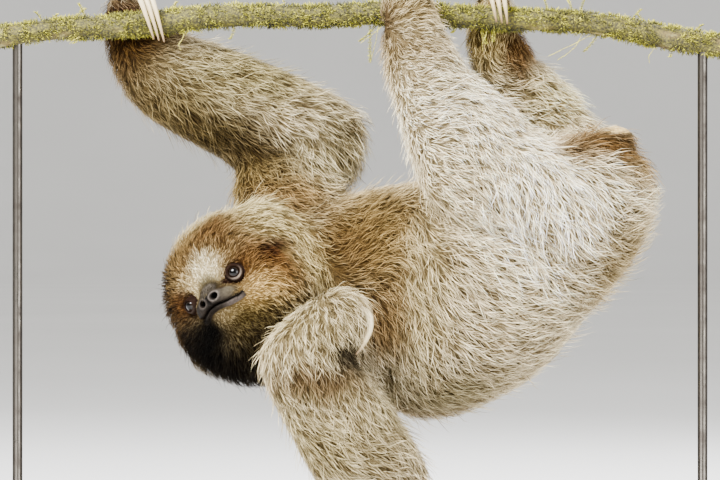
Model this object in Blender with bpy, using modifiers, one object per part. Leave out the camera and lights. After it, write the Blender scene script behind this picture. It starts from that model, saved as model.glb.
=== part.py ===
"""A life-size three-toed sloth hanging by three feet from a branch, on a plain display stand.

Each region of the body is a chain of overlapping ellipsoids at the coat's outer surface. Every
two neighbours in a chain are hulled, the hulls are fused by a voxel remesh, smoothed and
thinned out, and the result is parted into named pieces with thin cuts.

Frame: metres, +Z up, origin at the middle of the stand's underside. The head is at -X, the
rump at +X, and the chest and belly face -Y and up. "Left" and "right" are the animal's own.
"""
import math

import bmesh
import bpy
from mathutils import Matrix, Vector
from mathutils.geometry import interpolate_bezier

MM = 0.001
GAP = 0.3 * MM  # between pieces that touch

# ---- driving sizes, in millimetres ------------------------------------------------------
BASE_LENGTH, BASE_DEPTH, BASE_THICKNESS, BASE_EDGE = 644, 292, 16, 2
ROD_RADIUS, ROD_X, ROD_SINK = 4, 274, 5  # ROD_X is its distance from the middle
FLANGE_RADIUS, FLANGE_HEIGHT = 13, 4
BRANCH_RADIUS, BRANCH_HALF_LENGTH = 9, 304
BRANCH_TOP_Z, BRANCH_SAG = 470.5, 21  # its middle is the highest, its ends lower
BRANCH_DROOP, DROOP_START = 8, 110  # the right end bends down a little more
CLAW_ROOT_RADIUS, CLAW_TIP_RADIUS = 3.3, 0.9
EYE_RADIUS = 6.6

# ---- joints, in millimetres -------------------------------------------------------------
NECK = (-56, -14, 268)
CHEST_FRONT, CHEST, BELLY_FRONT, BELLY = (-12, 5, 264), (20, 5, 254), (56, 5, 241), (92, 4, 250)
LOIN, RUMP, TAIL_ROOT, TAIL_TIP = (133, 0, 280), (172, 0, 312), (196, 0, 338), (203, -4, 370)
FLANK = (106, -16, 288)
LEFT_SHOULDER, LEFT_UPPER_ARM, LEFT_ELBOW = (-48, 15, 302), (-62, 30, 331), (-32, 45, 370)
LEFT_FOREARM, LEFT_WRIST = (-99, 36, 397), (-159, 30, 424)
LEFT_PALM, LEFT_KNUCKLES = (-180, 27, 442), (-193, 25, 484)
RIGHT_SHOULDER, RIGHT_UPPER_ARM, RIGHT_ELBOW = (-28, 0, 216), (-14, -24, 156), (17, -56, 94)
RIGHT_FOREARM, RIGHT_WRIST = (-12, -84, 144), (-47, -98, 196)
RIGHT_PALM, RIGHT_KNUCKLES = (-27, -102, 222), (-13, -102, 229)
RIGHT_FINGERS = (-8, -103, 234)
LEFT_HIP, LEFT_KNEE, LEFT_ANKLE = (182, 34, 318), (156, 74, 383), (117, 42, 424)
LEFT_FOOT, LEFT_TOES = (107, 29, 452), (107, 25, 488)
RIGHT_HIP, RIGHT_KNEE, RIGHT_ANKLE = (164, -36, 302), (83, -72, 346), (51, -44, 417)
RIGHT_GROIN = (91, -36, 367)
RIGHT_HEEL, RIGHT_FOOT, RIGHT_TOES = (32, -38, 422), (38, -32, 462), (36, -27, 490)

# ---- the head, in its own axes: x to its left, y to its back, z to its crown -------------
HEAD_CENTRE = (-95.8, -35, 248.7)
HEAD_ROLL, HEAD_YAW, HEAD_PITCH = -37.7, -22, -10  # degrees about Y, Z and X
EYE_PLACE = (22.1, -36.1, 7.4)
NOSE_PLACE, NOSE_RADII = (0, -51, -0.5), (11.5, 8, 7.5)
NOSTRIL_X, NOSTRIL_RADIUS = 6.2, 2.2
EAR_PLACE, EAR_RADII = (58, -10, -3), (8, 8, 11)
MUZZLE_PLACE, MUZZLE_RADII = (0, -50, -6), (24, 22, 17)
MOUTH_Z, MOUTH_GAP = -9, 0.9

HEAD_TURN = (
    Matrix.Rotation(math.radians(HEAD_ROLL), 3, "Y")
    @ Matrix.Rotation(math.radians(HEAD_YAW), 3, "Z")
    @ Matrix.Rotation(math.radians(HEAD_PITCH), 3, "X")
)
UPRIGHT = Matrix.Identity(3)


def in_head(point):
    """A point of the head's own axes, in the model's axes."""
    return Vector(HEAD_CENTRE) + HEAD_TURN @ Vector(point)


# ---- helpers ----------------------------------------------------------------------------
def collection(name):
    made = bpy.data.collections.new(name)
    bpy.context.scene.collection.children.link(made)
    return made


def material(name, colour, roughness, metallic=0.0):
    made = bpy.data.materials.new(name)
    made.use_nodes = True
    shader = made.node_tree.nodes["Principled BSDF"]
    shader.inputs["Base Color"].default_value = (*colour, 1.0)
    shader.inputs["Roughness"].default_value = roughness
    shader.inputs["Metallic"].default_value = metallic
    made.diffuse_color = (*colour, 1.0)
    return made


def cutter(name, mesh):
    """An object that is only cut from or cut with."""
    made = bpy.data.objects.new(name, mesh)
    CUTTERS.objects.link(made)
    made.hide_render = True
    made.display_type = "WIRE"
    return made


def finished(name, obj, finish):
    """Makes a shape one of the sloth's own pieces, with its name and its material."""
    obj.name = name
    obj.data.name = name
    obj.data.materials.clear()
    obj.data.materials.append(finish)
    obj.data.shade_smooth()
    obj.data.set_sharp_from_angle(angle=math.radians(50))
    CUTTERS.objects.unlink(obj)
    SLOTH.objects.link(obj)
    obj.hide_render = False
    obj.display_type = "TEXTURED"


def baked(obj):
    """Turns an object's evaluated shape into its own mesh."""
    bpy.context.view_layer.update()
    graph = bpy.context.evaluated_depsgraph_get()
    mesh = bpy.data.meshes.new_from_object(obj.evaluated_get(graph))
    if obj.type == "CURVE":
        made = cutter(obj.name + "_mesh", mesh)
        bpy.data.objects.remove(obj)
        return main_body(made)
    obj.modifiers.clear()
    obj.data = mesh
    return obj


def main_body(obj):
    """Welds a mesh, and keeps its largest connected body without the slivers that a cut left."""
    bm = bmesh.new()
    bm.from_mesh(obj.data)
    bmesh.ops.remove_doubles(bm, verts=bm.verts, dist=0.02 * MM)
    bmesh.ops.dissolve_degenerate(bm, edges=bm.edges, dist=0.02 * MM)
    left, bodies = set(bm.verts), []
    while left:
        body, waiting = set(), [left.pop()]
        while waiting:
            vert = waiting.pop()
            body.add(vert)
            for edge in vert.link_edges:
                other = edge.other_vert(vert)
                if other in left:
                    left.remove(other)
                    waiting.append(other)
        bodies.append(body)
    largest = max(bodies, key=len)
    bmesh.ops.delete(bm, geom=[v for v in bm.verts if v not in largest], context="VERTS")
    bmesh.ops.recalc_face_normals(bm, faces=bm.faces)
    bm.to_mesh(obj.data)
    bm.free()
    return obj


def boolean(obj, other, operation):
    cut = obj.modifiers.new("cut", "BOOLEAN")
    cut.operation = operation
    cut.solver = "EXACT"
    cut.object = other
    return main_body(baked(obj))


def grown(obj, distance):
    """A copy of a shape, larger by a distance all round."""
    made = cutter(obj.name + "_grown", obj.data.copy())
    push = made.modifiers.new("push", "DISPLACE")
    push.strength = distance
    push.mid_level = 0
    return baked(made)


def keep_clear(obj, *others):
    """Cuts the others, grown by the gap, out of a shape."""
    for other in others:
        boolean(obj, grown(other, GAP), "DIFFERENCE")


def half_space(point, normal, reach=0.4):
    """A large box with one face on the plane, on the side that the normal points to."""
    bm = bmesh.new()
    turn = Vector(normal).to_track_quat("Z", "Y").to_matrix().to_4x4()
    place = Matrix.Translation(point) @ turn @ Matrix.Translation((0, 0, reach))
    bmesh.ops.create_cube(bm, size=2 * reach, matrix=place)
    mesh = bpy.data.meshes.new("half_space")
    bm.to_mesh(mesh)
    bm.free()
    return cutter("half_space", mesh)


def parted(obj, point, normal, gap=GAP):
    """Parts a shape at a plane. Returns the piece on the normal's side and the one behind it."""
    point, normal = Vector(point) * MM, Vector(normal).normalized()
    ahead = cutter(obj.name + "_ahead", obj.data.copy())
    boolean(ahead, half_space(point + normal * gap / 2, normal), "INTERSECT")
    boolean(obj, half_space(point - normal * gap / 2, -normal), "INTERSECT")
    return ahead, obj


def parted_by(obj, form):
    """Parts a shape at a closed form. Returns the piece inside it and the piece outside."""
    inside = cutter(obj.name + "_inside", obj.data.copy())
    boolean(inside, form, "INTERSECT")
    boolean(obj, grown(form, GAP), "DIFFERENCE")
    return inside, obj


def parted_between(obj, near, far, share):
    """Parts a shape square to the line from near to far, at a share of its length."""
    near, far = Vector(near), Vector(far)
    return parted(obj, near.lerp(far, share), far - near)


def parted_at_bend(obj, before, bend, after):
    """Parts a shape at a bent joint, in the plane that halves the bend."""
    inward = (Vector(before) - Vector(bend)).normalized()
    outward = (Vector(after) - Vector(bend)).normalized()
    return parted(obj, bend, outward - inward)


def hull(name, forms, turn=UPRIGHT, rings=10):
    """The convex hull of one or two ellipsoids, each (centre, radii), as a cutter."""
    bm = bmesh.new()
    for centre, radii in forms:
        size = Matrix.Diagonal((*(Vector(radii) * MM), 1))
        place = Matrix.Translation(Vector(centre) * MM) @ turn.to_4x4() @ size
        bmesh.ops.create_uvsphere(
            bm, u_segments=2 * rings - 4, v_segments=rings, radius=1, matrix=place
        )
    bmesh.ops.delete(bm, geom=bm.edges[:], context="EDGES_FACES")
    bmesh.ops.convex_hull(bm, input=bm.verts)
    bmesh.ops.delete(bm, geom=[v for v in bm.verts if not v.link_faces], context="VERTS")
    mesh = bpy.data.meshes.new(name)
    bm.to_mesh(mesh)
    bm.free()
    return cutter(name, mesh)


def fused(name, chains, voxel, smoothing, triangles, turn=UPRIGHT):
    """One closed, smooth, thinned-out body from chains of (centre, radius or radii)."""
    bm = bmesh.new()
    for chain in chains:
        forms = [(c, r if isinstance(r, tuple) else (r, r, r)) for c, r in chain]
        for pair in list(zip(forms, forms[1:])) or [forms]:
            bm.from_mesh(hull(name + "_form", pair, turn, 16).data)
    mesh = bpy.data.meshes.new(name)
    bm.to_mesh(mesh)
    bm.free()
    body = cutter(name, mesh)
    remesh = body.modifiers.new("fuse", "REMESH")
    remesh.mode = "VOXEL"
    remesh.voxel_size = voxel * MM
    smooth = body.modifiers.new("smooth", "SMOOTH")
    smooth.iterations = smoothing
    baked(body)
    thin = body.modifiers.new("thin_out", "DECIMATE")
    thin.ratio = triangles / (2 * len(body.data.polygons))
    unfold = body.modifiers.new("unfold", "SMOOTH")
    unfold.factor = 0.5
    body.modifiers.new("facets", "TRIANGULATE")
    return main_body(baked(body))


def tube(name, points, radii, sides):
    """A capped tube through points, with a radius at each."""
    data = bpy.data.curves.new(name, "CURVE")
    data.dimensions = "3D"
    data.bevel_depth = MM
    data.bevel_resolution = (sides - 4) // 2
    data.use_fill_caps = True
    line = data.splines.new("POLY")
    line.points.add(len(points) - 1)
    for spot, point, radius in zip(line.points, points, radii):
        spot.co = (*(Vector(point) * MM), 1)
        spot.radius = radius
    made = bpy.data.objects.new(name, data)
    CUTTERS.objects.link(made)
    return baked(made)


# ---- a clean scene ----------------------------------------------------------------------
for old in list(bpy.data.objects):
    bpy.data.objects.remove(old)
SLOTH = collection("three_toed_sloth")
CUTTERS = collection("cutters")
CUTTERS.hide_render = True

COAT = material("coat_pale", (0.60, 0.51, 0.40), 0.9)
COAT_BROWN = material("coat_brown", (0.40, 0.27, 0.15), 0.9)
COAT_FACE = material("coat_face", (0.58, 0.46, 0.31), 0.9)
FACE_SKIN = material("face_skin", (0.10, 0.08, 0.07), 0.55)
EYE = material("eye", (0.03, 0.015, 0.01), 0.08)
CLAW = material("claw", (0.72, 0.64, 0.50), 0.4)
BARK = material("bark", (0.26, 0.27, 0.09), 0.95)
STAND_WOOD = material("stand_wood", (0.16, 0.09, 0.05), 0.4)
STAND_METAL = material("stand_metal", (0.09, 0.085, 0.08), 0.35, 1.0)


# ---- perch: one branch, higher in the middle ----------------------------------------------
def branch_z(x):
    droop = max(0, (x - DROOP_START) / (BRANCH_HALF_LENGTH - DROOP_START))
    return BRANCH_TOP_Z - BRANCH_SAG * (x / BRANCH_HALF_LENGTH) ** 2 - BRANCH_DROOP * droop**2


steps = 16
branch_x = [BRANCH_HALF_LENGTH * (2 * i / steps - 1) for i in range(steps + 1)]
branch = tube(
    "perch_branch",
    [(x, 1.5 * math.sin(x / 37), branch_z(x) + 1.2 * math.sin(x / 23)) for x in branch_x],
    [BRANCH_RADIUS * (1 + 0.06 * math.sin(x / 31)) for x in branch_x],
    sides=8,
)

# ---- trunk and neck ---------------------------------------------------------------------
trunk = fused(
    "trunk",
    [
        [(NECK, (38, 40, 38)), (CHEST_FRONT, (58, 62, 64)), (CHEST, (68, 74, 80))],
        [(CHEST, (68, 74, 80)), (BELLY_FRONT, (86, 83, 97)), (BELLY, (82, 83, 88))],
        [(BELLY, (82, 83, 88)), (LOIN, (70, 78, 72)), (RUMP, (60, 68, 64))],
        [(RUMP, (60, 68, 64)), (TAIL_ROOT, (40, 46, 38))],
        [(BELLY_FRONT, (86, 83, 97)), (FLANK, (60, 71, 62)), (RUMP, (60, 68, 64))],
    ],
    voxel=5, smoothing=10, triangles=600,
)


# ---- head -------------------------------------------------------------------------------
def head_form(x, y, z, *radii):
    return in_head((x, y, z)), radii


head = fused(
    "head",
    [
        [head_form(0, 4, 6, 66, 47, 62)],  # crown
        [head_form(0, -14, 4, 47, 30, 38)],  # face
        [head_form(0, -26, 4, 20, 23, 17), head_form(0, -42, -3, 18, 16, 14)],  # bridge
        [head_form(0, -36, -17, 18, 18, 13)],  # chin
        [head_form(-6, -2, -32, 50, 38, 45)],  # throat
        [head_form(24, 22, 12, 46, 35, 50)],  # long hair of the nape
        [head_form(30, -3, -16, 37, 36, 42)],  # left cheek
        [head_form(-30, -3, -16, 37, 36, 42)],  # right cheek
    ],
    voxel=2.5, smoothing=6, triangles=850, turn=HEAD_TURN,
)
keep_clear(trunk, head)

for sign, side in ((1, "left"), (-1, "right")):
    ear = hull("ear", [(in_head((sign * EAR_PLACE[0], *EAR_PLACE[1:])), EAR_RADII)], HEAD_TURN, 7)
    eye = hull("eye", [(in_head((sign * EYE_PLACE[0], *EYE_PLACE[1:])), [EYE_RADIUS] * 3)], rings=8)
    keep_clear(head, ear, eye)
    finished("ear_" + side, ear, COAT_BROWN)
    finished("eye_" + side, eye, EYE)

nose = hull("nose", [(in_head(NOSE_PLACE), NOSE_RADII)], HEAD_TURN, 8)
for sign in (1, -1):
    front = NOSE_PLACE[1] - NOSE_RADII[1] + NOSTRIL_RADIUS / 2
    nostril = in_head((sign * NOSTRIL_X, front, NOSE_PLACE[2]))
    boolean(nose, hull("nostril", [(nostril, (NOSTRIL_RADIUS,) * 3)], rings=6), "DIFFERENCE")
keep_clear(head, nose)
snout = hull("snout", [(in_head(MUZZLE_PLACE), MUZZLE_RADII)], HEAD_TURN, 9)
muzzle, head = parted_by(head, snout)
crownward = HEAD_TURN @ Vector((0, 0, 1))
muzzle, jaw = parted(muzzle, in_head((0, MUZZLE_PLACE[1], MOUTH_Z)), crownward, MOUTH_GAP * MM)

# ---- limbs ------------------------------------------------------------------------------
left_arm = fused(
    "left_arm",
    [
        [(LEFT_SHOULDER, 46), (LEFT_UPPER_ARM, 44), (LEFT_ELBOW, 35)],
        [(LEFT_ELBOW, 41), (LEFT_FOREARM, 44), (LEFT_WRIST, 38)],
        [(LEFT_WRIST, 38), (LEFT_PALM, 27), (LEFT_KNUCKLES, (19, 12, 16))],
    ],
    voxel=4, smoothing=8, triangles=300,
)
keep_clear(left_arm, trunk, head, branch)

right_upper_arm = fused(
    "right_upper_arm",
    [[(RIGHT_SHOULDER, 44), (RIGHT_UPPER_ARM, 37), (RIGHT_ELBOW, 42)]],
    voxel=4, smoothing=8, triangles=150,
)
right_arm = fused(
    "right_arm",
    [
        [(RIGHT_ELBOW, 44), (RIGHT_FOREARM, 41), (RIGHT_WRIST, 34)],
        [(RIGHT_WRIST, 33), (RIGHT_PALM, 28), (RIGHT_KNUCKLES, 21), (RIGHT_FINGERS, (15, 20, 14))],
    ],
    voxel=4, smoothing=6, triangles=210,
)
fold = (Vector(RIGHT_WRIST) - Vector(RIGHT_ELBOW)).normalized()
fold -= (Vector(RIGHT_SHOULDER) - Vector(RIGHT_ELBOW)).normalized()
_, right_upper_arm = parted(right_upper_arm, RIGHT_ELBOW, fold)
right_arm, _ = parted(right_arm, RIGHT_ELBOW, fold)
keep_clear(right_upper_arm, trunk, head)
keep_clear(right_arm, trunk, head)

left_leg = fused(
    "left_leg",
    [
        [(LEFT_HIP, 44), (LEFT_KNEE, 37), (LEFT_ANKLE, 29)],
        [(LEFT_ANKLE, 29), (LEFT_FOOT, 25), (LEFT_TOES, (18, 12, 16))],
    ],
    voxel=4, smoothing=8, triangles=205,
)
keep_clear(left_leg, trunk, branch)

right_leg = fused(
    "right_leg",
    [
        [(RIGHT_HIP, 48), (RIGHT_KNEE, 42), (RIGHT_ANKLE, 31)],
        [(RIGHT_HIP, 44), (RIGHT_GROIN, 42), (RIGHT_ANKLE, 31)],
        [(RIGHT_HEEL, 17), (RIGHT_FOOT, (25, 19, 24)), (RIGHT_TOES, (20.5, 13, 16))],
        [(RIGHT_ANKLE, 31), (RIGHT_FOOT, (25, 19, 24))],
    ],
    voxel=4, smoothing=8, triangles=250,
)
keep_clear(right_leg, trunk, left_leg, branch)

tail = fused(
    "tail",
    [[(TAIL_ROOT, 24), (TAIL_TIP, (21, 17, 14))]],
    voxel=3, smoothing=3, triangles=90,
)
keep_clear(tail, trunk, left_leg, right_leg)


# ---- claws: three long hooks on each foot -------------------------------------------------
CLAW_CLOSING = (1, 1, 0.85, 0.65)  # how far apart they stay from root to tip


def claw(root, root_handle, tip_handle, tip, steps=7):
    """A hook that thins towards its tip, along a Bezier curve."""
    points = interpolate_bezier(root, root_handle, tip_handle, tip, steps)
    shares = [i / (steps - 1) for i in range(steps)]
    radii = [CLAW_ROOT_RADIUS * (1 - s**2.2) + CLAW_TIP_RADIUS * s**2.2 for s in shares]
    return tube("claw", points, radii, sides=6)


def claws(foot, prefix, middle, spread):
    """Three like claws side by side, sunk in the foot that they grow from."""
    for number in (-1, 0, 1):
        shifts = [Vector(spread) * number * share for share in CLAW_CLOSING]
        hook = claw(*[Vector(point) + shift for point, shift in zip(middle, shifts)])
        keep_clear(foot, hook)
        finished(prefix + "_claw_" + str(number + 2), hook, CLAW)


claws(
    left_arm, "left_hand",
    [(-187, 22, 484), (-184, 2, 520), (-172, -28, 492), (-160, -15, 449)],
    spread=(6.2, 3.5, -1.5),
)
claws(
    left_leg, "left_foot",
    [(101, 22, 484), (102, 2, 516), (108, -26, 496), (113, -14, 463)],
    spread=(6.8, 1.5, -1),
)
claws(
    right_leg, "right_foot",
    [(37, -22, 484), (37, -8, 520), (38, 30, 500), (38, 16, 450)],
    spread=(9.5, 0, 0),
)
claws(
    right_arm, "right_hand",
    [(-14, -104, 234), (8, -104, 250), (14, -104, 222), (-3, -102, 203)],
    spread=(0, 9, 0),
)

# ---- the body's own pieces ----------------------------------------------------------------
neck, trunk = parted_between(trunk, CHEST_FRONT, NECK, 0.55)
rump, trunk = parted_between(trunk, BELLY, LOIN, 0.9)
chest, belly = parted_between(trunk, BELLY_FRONT, CHEST, 0.5)
left_lower_arm, left_upper_arm = parted_at_bend(left_arm, LEFT_UPPER_ARM, LEFT_ELBOW, LEFT_FOREARM)
left_hand, left_forearm = parted_between(left_lower_arm, LEFT_WRIST, LEFT_PALM, 0.2)
right_hand, right_forearm = parted_between(right_arm, RIGHT_WRIST, RIGHT_PALM, 0.2)
left_lower_leg, left_thigh = parted_at_bend(left_leg, LEFT_HIP, LEFT_KNEE, LEFT_ANKLE)
left_foot, left_shin = parted_between(left_lower_leg, LEFT_ANKLE, LEFT_FOOT, 0.2)
right_lower_leg, right_thigh = parted_at_bend(right_leg, RIGHT_HIP, RIGHT_KNEE, RIGHT_ANKLE)
right_foot, right_shin = parted_between(right_lower_leg, RIGHT_ANKLE, RIGHT_FOOT, 0)

for name, piece, finish in (
    ("head", head, COAT_FACE), ("muzzle", muzzle, FACE_SKIN), ("jaw", jaw, COAT_FACE),
    ("nose", nose, FACE_SKIN), ("neck", neck, COAT_BROWN), ("chest", chest, COAT_BROWN),
    ("belly", belly, COAT), ("rump", rump, COAT), ("tail", tail, COAT_BROWN),
    ("left_upper_arm", left_upper_arm, COAT), ("left_forearm", left_forearm, COAT),
    ("left_hand", left_hand, COAT_BROWN), ("right_upper_arm", right_upper_arm, COAT),
    ("right_forearm", right_forearm, COAT), ("right_hand", right_hand, COAT),
    ("left_thigh", left_thigh, COAT), ("left_shin", left_shin, COAT),
    ("left_foot", left_foot, COAT_BROWN), ("right_thigh", right_thigh, COAT),
    ("right_shin", right_shin, COAT), ("right_foot", right_foot, COAT_BROWN),
):
    finished(name, piece, finish)


# ---- display stand ------------------------------------------------------------------------
def stand_rod(x):
    """A round rod from the base up into the branch, with a small foot flange."""
    low, high = BASE_THICKNESS - ROD_SINK, branch_z(x)
    top = BASE_THICKNESS + FLANGE_HEIGHT
    levels = [(low, ROD_RADIUS), (BASE_THICKNESS + 0.3, ROD_RADIUS)]
    levels += [(BASE_THICKNESS + 0.3, FLANGE_RADIUS), (top - 1, FLANGE_RADIUS)]
    levels += [(top, FLANGE_RADIUS - 1), (top, ROD_RADIUS), (high, ROD_RADIUS)]
    bm = bmesh.new()
    outline = [bm.verts.new((radius * MM, 0, level * MM)) for level, radius in reversed(levels)]
    outline = [bm.verts.new((0, 0, high * MM))] + outline + [bm.verts.new((0, 0, low * MM))]
    for above, below in zip(outline, outline[1:]):
        bm.edges.new((above, below))
    mesh = bpy.data.meshes.new("rod")
    bm.to_mesh(mesh)
    bm.free()
    rod = cutter("rod", mesh)
    turned = rod.modifiers.new("turned", "SCREW")
    turned.steps = 12
    turned.render_steps = 12
    turned.use_merge_vertices = True
    turned.merge_threshold = 0.01 * MM
    baked(rod).data.transform(Matrix.Translation((x * MM, 0, 0)))
    return main_body(rod)


bm = bmesh.new()
size = Matrix.Diagonal((BASE_LENGTH * MM, BASE_DEPTH * MM, BASE_THICKNESS * MM, 1))
lift = Matrix.Translation((0, 0, BASE_THICKNESS * MM / 2))
bmesh.ops.create_cube(bm, size=1, matrix=lift @ size)
bmesh.ops.bevel(
    bm, geom=[e for e in bm.edges if min(v.co.z for v in e.verts) > 0],
    offset=BASE_EDGE * MM, offset_type="OFFSET", segments=2, profile=0.5, affect="EDGES",
)
plate = bpy.data.meshes.new("plate")
bm.to_mesh(plate)
bm.free()
base = cutter("stand_base", plate)
for sign, side in ((-1, "left"), (1, "right")):
    rod = stand_rod(sign * ROD_X)
    keep_clear(base, rod)
    keep_clear(branch, rod)
    finished("stand_rod_" + side, rod, STAND_METAL)
finished("stand_base", base, STAND_WOOD)
finished("perch_branch", branch, BARK)
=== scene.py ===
"""A life-size three-toed sloth hanging by three feet from a mossy branch on a display stand.

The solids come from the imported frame. This file gives them their looks, in the order in which
such a model is put together: stand, perch, skin, eyes, claws, coat, moss, and then the studio.
Sizes are in millimetres unless a name says otherwise, and the frame is in metres.
"""
import math

import bmesh
import bpy
import numpy as np
from mathutils import Matrix, Vector, noise
from mathutils.bvhtree import BVHTree
from mathutils.geometry import interpolate_bezier
from mathutils.kdtree import KDTree


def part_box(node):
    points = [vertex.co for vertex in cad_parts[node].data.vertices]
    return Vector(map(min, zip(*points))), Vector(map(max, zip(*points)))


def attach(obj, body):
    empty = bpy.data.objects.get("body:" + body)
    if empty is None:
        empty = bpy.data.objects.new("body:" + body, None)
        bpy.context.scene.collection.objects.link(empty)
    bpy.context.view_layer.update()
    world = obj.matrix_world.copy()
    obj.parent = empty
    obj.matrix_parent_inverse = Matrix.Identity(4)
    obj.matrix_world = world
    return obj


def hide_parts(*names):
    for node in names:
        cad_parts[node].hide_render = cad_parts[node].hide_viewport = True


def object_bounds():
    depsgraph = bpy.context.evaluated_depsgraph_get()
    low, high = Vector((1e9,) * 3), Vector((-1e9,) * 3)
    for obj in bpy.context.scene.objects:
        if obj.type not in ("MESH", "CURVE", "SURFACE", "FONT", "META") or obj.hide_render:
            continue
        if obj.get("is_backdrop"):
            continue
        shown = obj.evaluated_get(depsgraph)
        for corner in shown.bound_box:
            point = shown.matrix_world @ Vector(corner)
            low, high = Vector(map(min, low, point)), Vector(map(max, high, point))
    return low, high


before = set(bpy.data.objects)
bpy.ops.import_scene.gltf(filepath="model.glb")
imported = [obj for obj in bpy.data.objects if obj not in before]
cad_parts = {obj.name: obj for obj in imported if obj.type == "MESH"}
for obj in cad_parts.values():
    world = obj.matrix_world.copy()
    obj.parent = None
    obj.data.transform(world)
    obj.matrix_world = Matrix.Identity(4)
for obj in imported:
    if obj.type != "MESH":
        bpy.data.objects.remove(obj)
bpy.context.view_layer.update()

# ==== display base =========================================================================
# The base is one board of dark stained hardwood with a small rounded edge, sanded, oiled and
# waxed. It lies flat on the floor, and the two rods are let into its top.
MM = 0.001  # a millimetre, in the frame's metres
BOARD_EDGE = 2.0


def new_material(name, **sockets):
    """A Principled material. Returns it with its node tree and its shader."""
    made = bpy.data.materials.new(name)
    made.use_nodes = True
    shader = made.node_tree.nodes["Principled BSDF"]
    for socket, value in sockets.items():
        shader.inputs[socket.replace("_", " ")].default_value = value
    return made, made.node_tree, shader


def put(tree, kind, settings=None, **sockets):
    """Adds a node. Each named input takes a value, or a link from another node's output."""
    made = tree.nodes.new("ShaderNode" + kind)
    for setting, value in (settings or {}).items():
        setattr(made, setting, value)
    for socket, value in sockets.items():
        target = made.inputs[socket.replace("_", " ")]
        if isinstance(value, bpy.types.NodeSocket):
            tree.links.new(value, target)
        else:
            target.default_value = value
    return made


def rgb(red, green, blue):
    """A colour as the eye reads it, 0 to 255, in the linear scale that the shaders work in."""
    return (*[(part / 255) ** 2.2 for part in (red, green, blue)], 1.0)


def mixed(tree, share, first, second, blend="MIX"):
    """The first colour, with a share of the second laid over it."""
    made = tree.nodes.new("ShaderNodeMix")
    made.data_type = "RGBA"
    made.blend_type = blend
    for index, value in ((0, share), (6, first), (7, second)):
        if isinstance(value, bpy.types.NodeSocket):
            tree.links.new(value, made.inputs[index])
        else:
            made.inputs[index].default_value = value
    return made.outputs[2]


def ramp(tree, share, *stops):
    """A colour ramp through (position, colour) stops."""
    made = tree.nodes.new("ShaderNodeValToRGB")
    while len(made.color_ramp.elements) < len(stops):
        made.color_ramp.elements.new(0.5)
    for element, (position, colour) in zip(made.color_ramp.elements, stops):
        element.position = position
        element.color = colour
    tree.links.new(share, made.inputs["Fac"])
    return made.outputs["Color"]


def grey(level):
    return (level, level, level, 1.0)


def feed(output, shader, socket="Base Color"):
    """Links a node's output to one of the shader's sockets."""
    shader.id_data.links.new(output, shader.inputs[socket])


def bump(tree, shader, height, distance, strength):
    made = put(tree, "Bump", Height=height, Distance=distance, Strength=strength)
    feed(made.outputs["Normal"], shader, "Normal")


def own_place(tree):
    """Each point's place in the piece's own axes."""
    return put(tree, "TexCoord").outputs["Object"]


def stretched(tree, place, scale):
    return put(tree, "Mapping", Vector=place, Scale=scale).outputs["Vector"]


def cloudy(tree, place, scale, detail, **more):
    """Soft lumps of noise, 0 to 1."""
    return put(tree, "TexNoise", Vector=place, Scale=scale, Detail=detail, **more).outputs["Fac"]


def finished(bm, name, sharp=None):
    """The worked form as a smooth mesh. Edges over the sharp angle, in degrees, stay crisp."""
    mesh = bpy.data.meshes.new(name)
    bm.to_mesh(mesh)
    bm.free()
    mesh.shade_smooth()
    if sharp:
        mesh.set_sharp_from_angle(angle=math.radians(sharp))
    return mesh


def placed(name, data):
    made = bpy.data.objects.new(name, data)
    bpy.context.scene.collection.objects.link(made)
    return made


def new_object(name, mesh, material, slot, *replaced):
    """Puts a finished mesh in the scene as a piece of the model."""
    made = placed(name, mesh)
    mesh.materials.clear()
    mesh.materials.append(material)
    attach(made, "root")
    if replaced:
        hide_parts(*replaced)


walnut, tree, shader = new_material("oiled_walnut", Coat_Weight=0.25, Coat_Roughness=0.28)
along_board = stretched(tree, own_place(tree), (2.2, 16, 40))
growth = cloudy(tree, along_board, 2.2, 6, Roughness=0.62, Distortion=0.5)
pores = cloudy(tree, along_board, 26, 3)
rings = put(
    tree, "TexWave", {"bands_direction": "Y"}, Vector=along_board, Scale=0.5, Distortion=7, Detail=3
).outputs["Fac"]
tone = ramp(tree, growth, (0.3, rgb(52, 33, 21)), (0.5, rgb(84, 55, 34)), (0.68, rgb(112, 77, 48)))
tone = mixed(tree, 0.35, tone, ramp(tree, rings, (0, rgb(45, 28, 18)), (1, rgb(110, 76, 48))))
pore_tone = ramp(tree, pores, (0.36, grey(0.35)), (0.47, grey(1)))
feed(mixed(tree, 0.8, tone, pore_tone, "MULTIPLY"), shader)
feed(ramp(tree, growth, (0.3, grey(0.5)), (0.7, grey(0.36))), shader, "Roughness")
bump(tree, shader, pores, 0.0004, 0.35)

low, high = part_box("stand_base")
bm = bmesh.new()
size = Matrix.Diagonal((*(high - low), 1))
bmesh.ops.create_cube(bm, size=1, matrix=Matrix.Translation((low + high) / 2) @ size)
bmesh.ops.bevel(
    bm, geom=bm.edges[:], offset=BOARD_EDGE * MM, offset_type="OFFSET", segments=5, profile=0.5,
    affect="EDGES",
)
board = finished(bm, "display_base", sharp=40)
new_object("display_base", board, walnut, "stand_wood", "stand_base")

# ==== display rods =========================================================================
# Two round steel rods, blackened and waxed, stand in the board. Each has a turned collar at
# its foot, and its top end is let into the branch from below.
ROD_RADIUS, ROD_SIDES = 4.0, 40
COLLAR = (  # the rod's turned foot: radius and height, from the board up
    (4.0, 0.2), (13.0, 0.2), (13.0, 2.6), (12.6, 3.3), (11.8, 3.8), (8.4, 4.0), (6.4, 4.2),
    (5.4, 5.2), (4.6, 7.4), (4.0, 8.4),
)

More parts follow.
